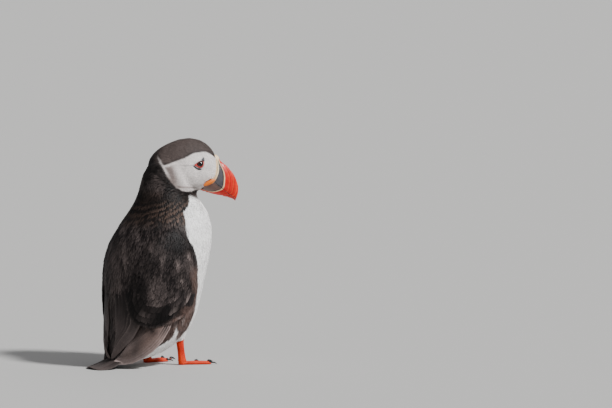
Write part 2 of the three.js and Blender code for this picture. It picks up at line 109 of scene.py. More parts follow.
# The edge of the black collar and mantle against the white breast: height and degrees from the spine.
BREAST_EDGE = np.array([
    (0, 0), (10, 74), (14, 84), (18, 89), (22, 93), (23.5, 97), (25, 128), (35, 131), (46, 130),
    (59, 131), (77, 123), (90, 115), (101, 109), (118, 98), (127, 90), (136, 83), (149, 84), (157, 97),
    (162, 105), (168, 119), (171, 140), (173.5, 176), (175, 200), (230, 200),
])

# The bill ring by ring in the head's plane: how far along, top, bottom, half width.
BILL_RINGS = np.array([
    (20, 22, -13, 8.4),
    (25.5, 22.7, -14.2, 8.6),
    (31, 19.3, -13.6, 8.1),
    (36.5, 18, -12.6, 7.2),
    (44, 15.1, -11, 5.8),
    (51, 10.4, -9.6, 4.2),
    (55.5, 5.9, -8.9, 3),
    (58.3, 1.2, -8.9, 2.1),
    (59.8, -3.9, -9.5, 1.3),
    (60.1, -9.4, -10.2, 0.5),
])
# The gape from the side: along and up.
GAPE_LINE = np.array([(18, 1.5), (30, -0.4), (36, -1.6), (43.5, -3.4), (50.5, -5.7), (57, -7.2), (66, -9.3)])
# The cream ridge between slate plates and red, and the swollen rim at the bill's base: up and along.
CREAM_RIDGE = np.array([(-13, 24.5), (-11.8, 33.8), (-9.1, 39), (-5, 43.3), (-1.1, 44), (6, 41.6),
                        (11, 38.6), (14.5, 34.9), (17.5, 31.0), (20.5, 28.3), (24, 26.2)])
CERE_LINE = np.array([(-3.5, 32.8), (1.2, 33.5), (6.4, 33.4), (10.8, 32.5), (15.8, 29.8), (19.7, 27.2),
                      (23.7, 24.6)])
GROOVES = (5.3, 9.5, 13.2)  # how far ahead of the cream ridge each groove of the bill lies

DEGREE_MM = 0.82  # millimetres of a degree round the trunk
# Each folded wing's lower edge, and its whole outline: degrees from the spine and height.
WING_EDGE = np.array([(27, 66), (29, 57), (34, 49), (43, 43.2), (61, 40.2), (80, 43.2), (96, 49.2), (108, 58)])
WING_OUTLINE = np.array([
    (29, 57), (34, 49), (43, 43.2), (61, 40.2), (80, 43.2), (96, 49.2), (109, 58), (117, 70),
    (115, 86), (107, 104), (94, 121), (79, 132), (66, 134), (51, 128), (38, 112), (30, 86),
])
# The long feathers' blades: side, behind, height, half breadth, half thickness.
PRIMARIES = np.array([
    (38, 21, 55, 12.5, 2.6),
    (36, 29.5, 40, 13, 2.6),
    (30, 37.5, 28, 12.5, 2.4),
    (21.5, 46.5, 18, 10.5, 2),
    (12.5, 53.5, 12.5, 7.5, 1.6),
    (7, 58.5, 9.5, 3.6, 1.2),
])
PRIMARIES_CURL = 36  # radius that the blades bend round the body with
TRUNK_AXIS = 8  # how far behind the middle the blades' outward way starts
# The tail's core: side, behind, height, half breadth, half thickness.
TAIL = np.array([
    (0, 40, 14.5, 11, 4.4),
    (0, 49, 9.8, 13, 3.4),
    (0, 58, 5.3, 14.5, 2.4),
    (0, 67, 2.3, 15, 1.7),
    (0, 76, 0.9, 13.5, 1.3),
    (0, 80.5, 0.7, 8.5, 1.1),
])

# Legs: side, behind, degrees turned out. Toes: degrees, length.
LEGS = {"right": (-18, -14, 8), "left": (18, 3, 6)}
TOES = ((-25, 21), (-2, 29.5), (20, 28.5))

EYE_PLACE = (14.4, 9.8)
# The opening between the lids, the red lid's outer edge and the plates: ahead and up from the eye's middle.
EYE_OPENING = np.array([(-2.7, -2.0), (-1.5, -2.55), (0.5, -2.4), (1.7, -1.4), (2.1, 0.4), (1.6, 2.4),
                        (0.2, 3.35), (-1.8, 1.4), (-2.8, -0.5)])
EYE_RIM = np.array([(-5.3, -3.7), (-2.7, -3.85), (0.5, -3.75), (2.7, -2.3), (3.3, 0.4), (2.6, 3.2),
                    (0.3, 3.95), (-2.2, 1.75), (-4.2, -1.5)])
BROW_PLATE = np.array([(-1.0, 4.1), (0.6, 4.2), (2.3, 3.9), (2.9, 4.7), (2.0, 6.2), (0.6, 7.9), (-0.3, 6.5)])
CHEEK_PLATE = np.array([(-6.6, -4.3), (-4.6, -4.2), (-2.2, -4.45), (0.6, -4.4), (2.5, -3.8), (3.5, -3.3),
                        (2.9, -4.6), (0.6, -5.8), (-2.2, -5.9), (-4.7, -5.3)])
EYE_RADIUS = 4.2
EYE_STANDS = 1.45  # how far the eyeball stands out of the skin
IRIS, PUPIL, LID_SHADE = np.array([0.032, 0.015, 0.009]), np.array([0.002] * 3), np.array([0.006, 0.004, 0.004])

SIDES = {"right": -1, "left": 1}
BLADE_NODES = ("primaries_right", "primaries_left")
LEG_NODES = ("shank_right", "shank_left", "foot_right", "foot_left")
FLESH = ("head", "neck", "trunk", "tail", "thigh_right", "thigh_left", "wing_right", "wing_left", *BLADE_NODES)
# Where the chance of each kind of long feathers starts after the coat's seed.
ROWS_CHANCE, BLADES_CHANCE, TAIL_CHANCE = 20, 30, 40
ROW_SPACING = 1.9  # between the long coverts of one row

SENSOR = 36  # width of the camera's sensor
VIEW_RIGHT, VIEW_UP = 0.1416, 0.1552  # metres from the bird's stand to the middle of the view


def to_world(points):
    return (np.asarray(points, float) + (0, LEG_LINE, 0)) * MM


def to_bird(points):
    return np.asarray(points, float) / MM - (0, LEG_LINE, 0)


def from_head(points):
    """Head space (forward, left, up) to the bird's own space."""
    return HEAD_CENTRE + np.asarray(points, float) @ HEAD_AXES


def to_head(points):
    return (np.asarray(points, float) - HEAD_CENTRE) @ HEAD_AXES.T


def unit(vectors):
    length = np.linalg.norm(vectors, axis=-1, keepdims=True)
    return vectors / np.maximum(length, 1e-9)


def square_to(axes, ways):
    """The part of each way that is square to its axis, as a unit vector."""
    return unit(ways - (ways * axes).sum(1)[:, None] * axes)


def ease(low, high, values):
    """A smooth step from 0 at low to 1 at high."""
    share = np.clip((np.asarray(values, float) - low) / (high - low), 0, 1)
    return share * share * (3 - 2 * share)


def ring_at(heights):
    """Centre, half depth and half width of the trunk at these heights."""
    return [np.interp(heights, BODY_RINGS[:, 0], BODY_RINGS[:, column]) for column in (1, 2, 3)]


def degrees_from_spine(points):
    behind, depth, width = ring_at(points[:, 2])
    return np.degrees(np.arctan2(np.abs(points[:, 0]) / width, (points[:, 1] - behind) / depth))


def on_trunk(side, degrees, height, out=0.0):
    """A point on the trunk's outline, at an angle from the spine and a height."""
    behind, depth, width = ring_at(height)
    sine, cosine = np.sin(np.radians(degrees)), np.cos(np.radians(degrees))
    return np.stack([side * (width + out) * sine, behind + (depth + out) * cosine, height + 0 * sine], -1)


def out_of_trunk(side, degrees, height):
    """The way straight out of the trunk's outline at such a point."""
    _, depth, width = ring_at(height)
    around = np.radians(degrees)
    return unit(np.stack([side * np.sin(around) / width, np.cos(around) / depth, 0 * around], -1))


def along_rings(rings, share):
    """Every field of the rings at shares from 0 to 1, on a smooth curve through them."""
    place = np.clip(share, 0, 1) * (len(rings) - 1)
    first = np.clip(place.astype(int), 0, len(rings) - 2)
    t = (place - first)[:, None]
    before, start, end, after = (rings[np.clip(first + step, 0, len(rings) - 1)]
                                 for step in (-1, 0, 1, 2))
    bend = 3 * (start - end) + after - before
    return start + 0.5 * t * (end - before + t * (2 * before - 5 * start + 4 * end - after + t * bend))


def smooth_curve(points):
    """Many points of a smooth line through a few."""
    return along_rings(points, np.linspace(0, 1, 12 * len(points)))


def along_loop(points, share):
    """Points of a smooth closed loop at shares from 0 to 1."""
    count = len(points)
    wrapped = np.concatenate([points[-2:], points, points[:3]])
    return along_rings(wrapped, (2 + (np.asarray(share) % 1) * count) / (count + 4))


def distance_inside(outline, points, margin=12):
    """How far inside a closed outline each flat point lies: negative outside it, down to -margin."""
    near = ((points > outline.min(0) - margin) & (points < outline.max(0) + margin)).all(1)
    result = np.full(len(points), -float(margin))
    result[near] = exact_distance(outline, points[near])
    return result


def exact_distance(outline, points):
    """How far inside a closed outline each flat point lies, at any distance from it."""
    start, end = outline, np.roll(outline, -1, 0)
    edge = end - start
    reach = points[:, None] - start[None]
    share = np.clip((reach * edge).sum(-1) / (edge * edge).sum(-1), 0, 1)
    nearest = np.linalg.norm(reach - share[..., None] * edge, axis=-1).min(1)
    above = (start[:, 1] > points[:, 1:]) != (end[:, 1] > points[:, 1:])
    rise = np.where(edge[:, 1] == 0, 1e-9, edge[:, 1])
    crossing = start[:, 0] + (points[:, 1:] - start[:, 1]) * edge[:, 0] / rise
    inside = (above & (points[:, :1] < crossing)).sum(1) % 2 == 1
    return np.where(inside, nearest, -nearest)


def wander(points, size, seed=0):
    """A soft irregular value from -1 to 1 over space, whose blots are about this size."""
    rng = np.random.default_rng(seed)
    total = np.zeros(len(points))
    for octave in range(4):
        way = unit(rng.normal(size=(5, 3))) * (2 ** octave) * np.pi / size
        phase = rng.uniform(0, 2 * np.pi, 5)
        total += np.sin(points @ way.T + phase).sum(1) / (2 ** octave * 4)
    return np.clip(total, -1, 1)


# ------------------------------------------------------------------ settings


def length_setting(name, description, millimetres):
    return FloatProperty(name=name, description=description, default=millimetres * MM, min=0,
                         unit="LENGTH", subtype="DISTANCE")


def colour_setting(name, description, red, green, blue):
    return FloatVectorProperty(name=name, description=description, default=(red, green, blue),
                               size=3, min=0, max=1, subtype="COLOR")


def angle_setting(name, description, degrees):
    return FloatProperty(name=name, description=description, default=np.radians(degrees), subtype="ANGLE",
                         unit="ROTATION")


class PuffinCoat(bpy.types.PropertyGroup):
    """Sizes of the skin and of the feathers over it."""

    cell: length_setting("Skin cell", "Size of the cells that the skin is built from", 1.25)
    face_depth: length_setting("Face depth", "How deep the skin lies under the face's feathers", 0.75)
    cap_depth: length_setting("Cap depth", "How deep the skin lies under the crown's feathers", 1.0)
    neck_depth: length_setting("Neck depth", "How deep the skin lies under the neck's feathers", 1.4)
    body_depth: length_setting("Body depth", "How deep the skin lies under the body's feathers", 1.6)
    blade_depth: length_setting("Blade depth", "How deep the cores of primaries and tail lie", 0.6)
    seed: IntProperty(name="Seed", description="Start of the chance that scatters feathers", default=7)


class PuffinColours(bpy.types.PropertyGroup):
    """Colours of plumage and bare parts."""

    collar: colour_setting("Collar", "Black of the neck", 0.0048, 0.0036, 0.0034)
    cap: colour_setting("Cap", "Grey brown of the crown", 0.070, 0.053, 0.048)
    mantle: colour_setting("Mantle", "Brown black of back and wings", 0.0075, 0.0056, 0.0055)
    fringe: colour_setting("Fringe", "Worn grey brown edges of the dark feathers", 0.135, 0.106, 0.100)
    ripple: colour_setting("Ripple", "Warm brown of the ripples on the neck", 0.155, 0.098, 0.074)
    flank: colour_setting("Flank", "Brown of the flank and thigh", 0.11, 0.068, 0.056)
    white: colour_setting("White", "White of breast and belly", 0.90, 0.885, 0.87)
    cheek: colour_setting("Cheek", "Pale grey of the face", 0.78, 0.725, 0.70)
    # This grey paints the shade on the back of the cheek, and lends its pale to the painted sheen on the wing's
    # rows.
    cheek_rear: colour_setting("Rear cheek", "Darker grey at the back of the face", 0.20, 0.16, 0.148)
    bill_red: colour_setting("Bill red", "Orange red of the outer bill", 0.60, 0.004, 0.0002)
    bill_slate: colour_setting("Bill slate", "Blue grey plates at the bill's base", 0.075, 0.07, 0.078)
    bill_cream: colour_setting("Bill cream", "Pale ridges of the bill", 0.86, 0.62, 0.36)
    rosette: colour_setting("Rosette", "Yellow orange skin at the gape", 0.78, 0.19, 0.0005)
    leg: colour_setting("Leg", "Orange red of legs and webs", 0.74, 0.034, 0.0003)
    claw: colour_setting("Claw", "Black horn of the claws", 0.010, 0.009, 0.009)
    eyelid: colour_setting("Eyelid", "Red ring round the eye", 0.50, 0.010, 0.006)
    horn: colour_setting("Eye horn", "Blue grey plates above and below the eye", 0.030, 0.031, 0.037)


class PuffinStage(bpy.types.PropertyGroup):
    """Floor, light and camera."""

    floor: colour_setting("Floor", "Pale studio floor", 0.43, 0.426, 0.415)
    key_power: FloatProperty(name="Key light", description="Strength of the main light", default=5.3)
    fill_power: FloatProperty(name="Fill light", description="Strength of the two fill lights", default=0.35)
    world_power: FloatProperty(name="Room light", description="Strength of the light all round", default=0.3)
    azimuth: angle_setting("Azimuth", "Camera's way round the bird", 235)
    elevation: angle_setting("Elevation", "Camera's height over the bird", 5)
    distance: length_setting("Distance", "Camera's distance", 5000)
    view_width: length_setting("View width", "Width that the camera sees at the bird", 594)


def coat():
    return bpy.context.scene.puffin_coat


def colour(name):
    return np.array(getattr(bpy.context.scene.puffin_colours, name)[:])


# ------------------------------------------------------------------ markings


def mixed(base, other, share):
    """One colour for each share, from the base at 0 to the other at 1."""
    return base + (other - base) * np.asarray(share)[:, None]


def in_cheek(points):
    """How far inside the pale cheek each point lies, in millimetres, seen from the head's side."""
    head = to_head(points)
    inside = distance_inside(CHEEK_OUTLINE, head[:, [0, 2]])
    return np.minimum(inside, 60 - np.abs(head[:, 1]))


def on_head(points):
    """1 where a point belongs to the head, 0 on neck and body."""
    head = to_head(points)
    below = ease(-24, -20, head[:, 2] + 0.25 * np.minimum(head[:, 0], 0))
    return below * ease(-36, -32, head[:, 0])


def markings(points):
    """The plumage's colour at each point, with painted shade under and on the wing and on the face, the same
    for the skin and for the roots of its feathers.
    """
    head = to_head(points)
    ragged = wander(points, 9, 3)
    height = points[:, 2]
    degrees = degrees_from_spine(points) + (2 + 2.5 * ease(75, 50, height)) * ragged
    edge = np.interp(height, *BREAST_EDGE.T)
    radius = 0.5 * sum(ring_at(height)[1:])
    past_edge = np.radians(degrees - edge) * radius
    soft = 0.9 + 1.6 * ease(75, 50, height)
    white = ease(-soft, soft, past_edge)

    dark = mixed(colour("mantle"), colour("collar"), ease(128, 150, height))
    shadow = under_wing_edge(points) * (1 - 0.75 * ease(70, 86, degrees))
    dark = mixed(dark, colour("collar") * 0.3, 0.85 * shadow)
    # Darker over the shoulder, and in the wing's lower and front band as painted shade of its rim turned from
    # the light.
    shoulder = ease(104, 118, height) * ease(60, 85, degrees)
    dark = dark * (1 - 0.75 * np.maximum(in_wing_shade_band(points), 0.8 * shoulder))[:, None]
    front = 18 * ease(54, 42, height)
    flank = ease(101, 93, height) * ease(88 - front, 104 - front, degrees) * ease(22, 26, height)
    flank = flank * np.where(height > 60, ease(-16, -9, past_edge), 1)
    dark = mixed(dark, colour("flank"), flank * (0.75 + 0.25 * ragged))
    streaks = ease(0.0, 0.7, wander(points * (1, 1, 0.35), 4, 9)) * ease(58, 46, height) * flank
    dark = mixed(dark, colour("cheek_rear"), 0.6 * streaks)
    low, high = (np.interp(height, (23, 26, 30, 33, 38), edges) for edges in (
        (94, 100, 101, 100.5, 98), (131, 114, 109, 105.5, 99)))
    spike = ease(-1.2, 1.2, degrees - low) * ease(-1.2, 1.2, high - degrees)
    white = np.maximum(white, spike * ease(39.5, 37, height) * ease(21, 23.5, height))
    tail_top = np.interp(points[:, 1], TAIL[:, 1], TAIL[:, 2] - 0.25 * TAIL[:, 4])
    on_tail = ease(42, 48, points[:, 1]) * ease(-2.2, -1.2, height - tail_top)
    white = white * (1 - np.maximum(on_tail, ease(56, 62, points[:, 1])))
    body = mixed(dark, colour("white"), white)

    cap = mixed(colour("cap"), colour("collar"), ease(-22, -34, head[:, 0]))
    cap = mixed(cap, colour("collar"), ease(-2, -9, head[:, 2]))
    cap = mixed(cap, colour("cheek_rear"), 0.25 * ease(16, 26, head[:, 0]))
    cap = mixed(cap, colour("collar"), 0.6 * ease(-2.6, -0.8, in_cheek(points)))
    # The cheek is painted darker towards its back and bottom, in a patch behind it, along the jaw and in the
    # crease behind the eye: painted shade where the face turns from the light and in its folds. A band along
    # its edge behind is lightened again as a painted lit rim.
    rear_shade = 0.66 * ease(8, -17, head[:, 0] + 0.3 * head[:, 2]) + 0.42 * ease(-6, -19, head[:, 2])
    groove_shade = np.exp(-((head[:, 0] + 11) / 12) ** 2
                    - ((head[:, 2] + 7 + 0.68 * (head[:, 0] + 11)) / 4.5) ** 2)
    jaw = np.exp(-((head[:, 2] + 18.2 - 0.3 * (head[:, 0] - 4)) / 0.8) ** 2) * ease(1, 6, head[:, 0])
    rear_shade = np.clip(rear_shade + 0.6 * groove_shade + 0.55 * jaw * ease(24, 18, head[:, 0]), 0, 1)
    cheek = mixed(colour("cheek"), colour("cheek_rear"), rear_shade)
    cheek = mixed(cheek, colour("cheek_rear") * 0.7, 0.5 * groove_shade)
    lit_rim = np.exp(-((in_cheek(points) - 1.4) / 1.3) ** 2) * ease(-4, -14, head[:, 0])
    cheek = mixed(cheek, colour("cheek"), 0.7 * lit_rim)
    crease = np.exp(-((head[:, 2] - 2.6 - 0.44 * (head[:, 0] - 1)) / 0.8) ** 2)
    crease = crease * ease(-6, 2, head[:, 0]) * ease(12, 8, head[:, 0])
    cheek = mixed(cheek, colour("cheek_rear") * 0.5, 0.4 * crease)
    pale = ease(-0.7, 0.7, in_cheek(points) + 0.5 * ragged)
    face = mixed(cap, cheek, pale)
    return mixed(body, face, np.maximum(on_head(points), pale * ease(-27, -24, head[:, 2])))


def lie_of_coat(points, on_wing):
    """The way that feathers point, before it is laid into the surface."""
    height = points[:, 2]
    backward = 0.62 + 0.35 * ease(80, 45, height) if on_wing else 0.12 + 1.3 * ease(42, 12, height)
    way = np.stack([np.zeros(len(points)), backward, -np.ones(len(points))], -1)
    head = to_head(points)
    cheek_way = -HEAD_FORWARD - 0.30 * HEAD_UP
    on_face = ease(-36, -14, head[:, 0]) * ease(-29, -17, head[:, 2])
    return unit(way + (cheek_way * 1.2 - way) * on_face[:, None])


# ------------------------------------------------------------------ mesh tools


def deselect():
    if bpy.context.object and bpy.context.object.mode != "OBJECT":
        bpy.ops.object.mode_set(mode="OBJECT")
    bpy.ops.object.select_all(action="DESELECT")


def select_only(*objects):
    deselect()
    for obj in objects:
        obj.select_set(True)
    bpy.context.view_layer.objects.active = objects[0]


def read(items, key, width, kind=float):
    """One property of all of a mesh's items, a row for each."""
    values = np.empty(len(items) * width, kind)
    items.foreach_get(key, values)
    return values.reshape(-1, width)


def coordinates(obj):
    """A mesh's points in the bird's own space."""
    return to_bird(read(obj.data.vertices, "co", 3))


def move_vertices(obj, bird_points):
    obj.data.vertices.foreach_set("co", to_world(bird_points).ravel())
    obj.data.update()


def apply_modifier(obj, kind, **settings):
    select_only(obj)
    modifier = obj.modifiers.new(kind.title(), kind)
    for name, value in settings.items():
        setattr(modifier, name, value)
    bpy.ops.object.modifier_apply(modifier=modifier.name)


def add_field(mesh, name, kind, key, values, domain="POINT"):
    """Gives the mesh an attribute of its own with these values."""
    mesh.attributes.new(name, kind, domain).data.foreach_set(key, values.ravel())


def paint(obj, colours):
    """Gives the mesh the colours that its material reads: one for all or one for each point."""
    rgba = np.ones((len(obj.data.vertices), 4), np.float32)
    rgba[:, :3] = np.clip(colours, 0, 1)
    add_field(obj.data, "marking", "FLOAT_COLOR", "color", rgba)


def finish_piece(obj, material, slot, *replaced):
    obj.data.materials.clear()
    obj.data.materials.append(material)
    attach(obj, "root")
    if replaced:
        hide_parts(*replaced)


def cad_nodes(names):
    return [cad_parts[name] for name in names]


def edit_all(obj, tool, **settings):
    """Runs a tool of edit mode over the whole mesh."""
    select_only(obj)
    bpy.ops.object.mode_set(mode="EDIT")
    bpy.ops.mesh.select_all(action="SELECT")
    tool(**settings)
    bpy.ops.object.mode_set(mode="OBJECT")


def joined(objects, name):
    """One object made of several."""
    select_only(*objects)
    if len(objects) > 1:
        bpy.ops.object.join()
    obj = bpy.context.object
    obj.name = name
    return obj


def merged_copy(name, sources):
    """One mesh made of copies of these objects, with the doubled vertices of each merged."""
    copies = []
    for source in sources:
        copy = bpy.data.objects.new(name, source.data.copy())
        bpy.context.scene.collection.objects.link(copy)
        copies.append(copy)
    obj = joined(copies, name)
    edit_all(obj, bpy.ops.mesh.remove_doubles, threshold=0.01 * MM)
    return obj


def shade_smooth(obj):
    select_only(obj)
    bpy.ops.object.shade_smooth()


def remeshed(obj, cell, smoothing, grow=0.0):
    """Joins the shells of a mesh into one even skin and smooths it."""
    if grow:
        apply_modifier(obj, "DISPLACE", strength=grow, mid_level=0)
    apply_modifier(obj, "REMESH", mode="VOXEL", voxel_size=cell)
    apply_modifier(obj, "SMOOTH", factor=0.5, iterations=smoothing)
    if grow:
        apply_modifier(obj, "DISPLACE", strength=-grow, mid_level=0)
    shade_smooth(obj)
    return obj


def off_poles(share):
    """Whether a point of a sphere lies between its two poles."""
    return (share > 1e-4) & (share < 1 - 1e-4)


def shaped_sphere(name, columns, rows, place):
    """A sphere whose points are set by place(share from pole to pole, angle round it)."""
    deselect()
    bpy.ops.mesh.primitive_uv_sphere_add(segments=columns, ring_count=rows, radius=1)
    obj = bpy.context.object
    obj.name = name
    points = read(obj.data.vertices, "co", 3)
    share = np.arccos(np.clip(points[:, 2], -1, 1)) / np.pi
    angle = np.arctan2(points[:, 1], points[:, 0])
    return reshaped(obj, place(share, np.where(off_poles(share), angle, 0)))


def reshaped(obj, bird_points):
    """The same mesh with its points moved, its faces turned outwards and smooth."""
    move_vertices(obj, bird_points)
    edit_all(obj, bpy.ops.mesh.normals_make_consistent, inside=False)
    shade_smooth(obj)
    return obj


class Surface:
    """A mesh in the bird's own millimetres that tells its nearest point, normal and map place."""

    def __init__(self, obj):
        mesh = obj.data
        mesh.calc_loop_triangles()
        self.points = coordinates(obj)
        self.normals = read(mesh.vertices, "normal", 3)
        self.faces = read(mesh.loop_triangles, "vertices", 3, np.int64)
        self.tree = BVHTree.FromPolygons(self.points.tolist(), self.faces.tolist())
        if mesh.uv_layers:
            places = read(mesh.uv_layers.active.data, "uv", 2)
            self.map = places[read(mesh.loop_triangles, "loops", 3, np.int64)]

    def nearest(self, points):
        """Nearest points, smooth normals and faces."""
        found = [self.tree.find_nearest(point) for point in np.asarray(points).tolist()]
        near = np.array([hit[0][:] for hit in found])
        face = np.array([hit[2] for hit in found])
        share = self.shares(near, face)
        normal = unit((self.normals[self.faces[face]] * share[..., None]).sum(1))
        return near, normal, face

    def shares(self, points, face):
        """How much each corner of its face weighs at a point."""
        a, b, c = (self.points[self.faces[face][:, i]] for i in range(3))
        first, second, reach = b - a, c - a, points - a
        d00, d01, d11 = (first * first).sum(1), (first * second).sum(1), (second * second).sum(1)
        d20, d21 = (reach * first).sum(1), (reach * second).sum(1)
        under = np.maximum(d00 * d11 - d01 * d01, 1e-12)
        v = np.clip((d11 * d20 - d01 * d21) / under, 0, 1)
        w = np.clip((d00 * d21 - d01 * d20) / under, 0, 1)
        total = np.stack([1 - v - w, v, w], 1)
        return np.clip(total, 0, 1)

    def distance(self, points):
        return np.array([self.tree.find_nearest(point)[3] for point in points.tolist()])

    def map_place(self, points, face):
        """Where points on these faces lie on the map."""
        return (self.map[face] * self.shares(points, face)[..., None]).sum(1)

    def height_over(self, points):
        """How far outside the surface each point lies: negative inside."""
        near, normal, _ = self.nearest(points)
        return ((points - near) * normal).sum(1)

    def scatter(self, weight, spacing, rng):
        """Evenly spread points over the faces, at least spacing apart, where weight is above 0."""
        corner = self.points[self.faces]
        double = np.cross(corner[:, 1] - corner[:, 0], corner[:, 2] - corner[:, 0])
        area = 0.5 * np.linalg.norm(double, axis=1) * weight
        count = int(3.2 * area.sum() / spacing ** 2) + 1
        face = rng.choice(len(area), size=count, p=area / area.sum())
        u, v = rng.random(count), rng.random(count)
        flip = u + v > 1
        u, v = np.where(flip, 1 - u, u), np.where(flip, 1 - v, v)
        picked = corner[face]
        points = (picked[:, 0] + u[:, None] * (picked[:, 1] - picked[:, 0])
                  + v[:, None] * (picked[:, 2] - picked[:, 0]))
        kept = thinned(points, spacing)
        return points[kept], face[kept]


def thinned(points, spacing):
    """Indices of points of which no two lie closer than the spacing."""
    cells = {}
    kept = []
    places = np.floor(points / spacing).astype(int).tolist()
    values = points.tolist()
    limit = spacing * spacing
    around = [(i, j, k) for i in (-1, 0, 1) for j in (-1, 0, 1) for k in (-1, 0, 1)]
    for index, (place, value) in enumerate(zip(places, values)):
        x, y, z = value
        free = True
        for i, j, k in around:
            for other in cells.get((place[0] + i, place[1] + j, place[2] + k), ()):
                if (other[0] - x) ** 2 + (other[1] - y) ** 2 + (other[2] - z) ** 2 < limit:
                    free = False
                    break
            if not free:
                break
        if free:
            cells.setdefault(tuple(place), []).append(value)
            kept.append(index)
    return np.array(kept, int)


# ------------------------------------------------------------------ vanes

# Sections of a feather as (across, height) from its left edge over its ridge and back underneath.
THIN_SECTION = np.array([(-1, 0), (0, 1), (1, 0)])
FULL_SECTION = np.array([(-1, 0), (-0.45, 0.75), (0.05, 1), (0.5, 0.7), (1, 0), (0, -0.7)])
LONG_SECTION = np.array([(-1, 0), (-0.6, 0.55), (-0.15, 0.8), (-0.08, 1.25), (0, 0.8), (0.5, 0.6),
                         (1, 0), (0.5, -0.5), (-0.1, -0.8), (-0.6, -0.5)])

# How wide a feather is along its length.
TUFT_ROWS = np.array([(0, 0.5), (0.35, 1), (0.75, 0.72), (1, 0)])
BARB_ROWS = np.array([(0, 0.45), (0.55, 1), (1, 0)])
LONG_ROWS = np.array([(0, 0.5), (0.12, 0.8), (0.26, 0.95), (0.4, 1), (0.53, 1), (0.65, 0.97),
                      (0.76, 0.88), (0.86, 0.72), (0.94, 0.48), (0.985, 0.22), (1, 0)])
PATCH = 0.003  # width of each feather's place on the map that its colours are kept in


def ribbon_faces(rows, columns):
    """Triangles of one closed vane whose last row is a single point."""
    faces = []
    for row in range(rows - 2):
        for column in range(columns):
            after = (column + 1) % columns
            a, b = row * columns + column, row * columns + after
            c, d = (row + 1) * columns + after, (row + 1) * columns + column
            faces += [(a, d, c), (a, c, b)]
    tip = (rows - 1) * columns
    for column in range(columns):
        a, b = (rows - 2) * columns + column, (rows - 2) * columns + (column + 1) % columns
        faces.append((a, tip, b))
    # The root's end is closed with a fan.
    faces += [(0, column, column + 1) for column in range(1, columns - 1)]
    return np.array(faces)


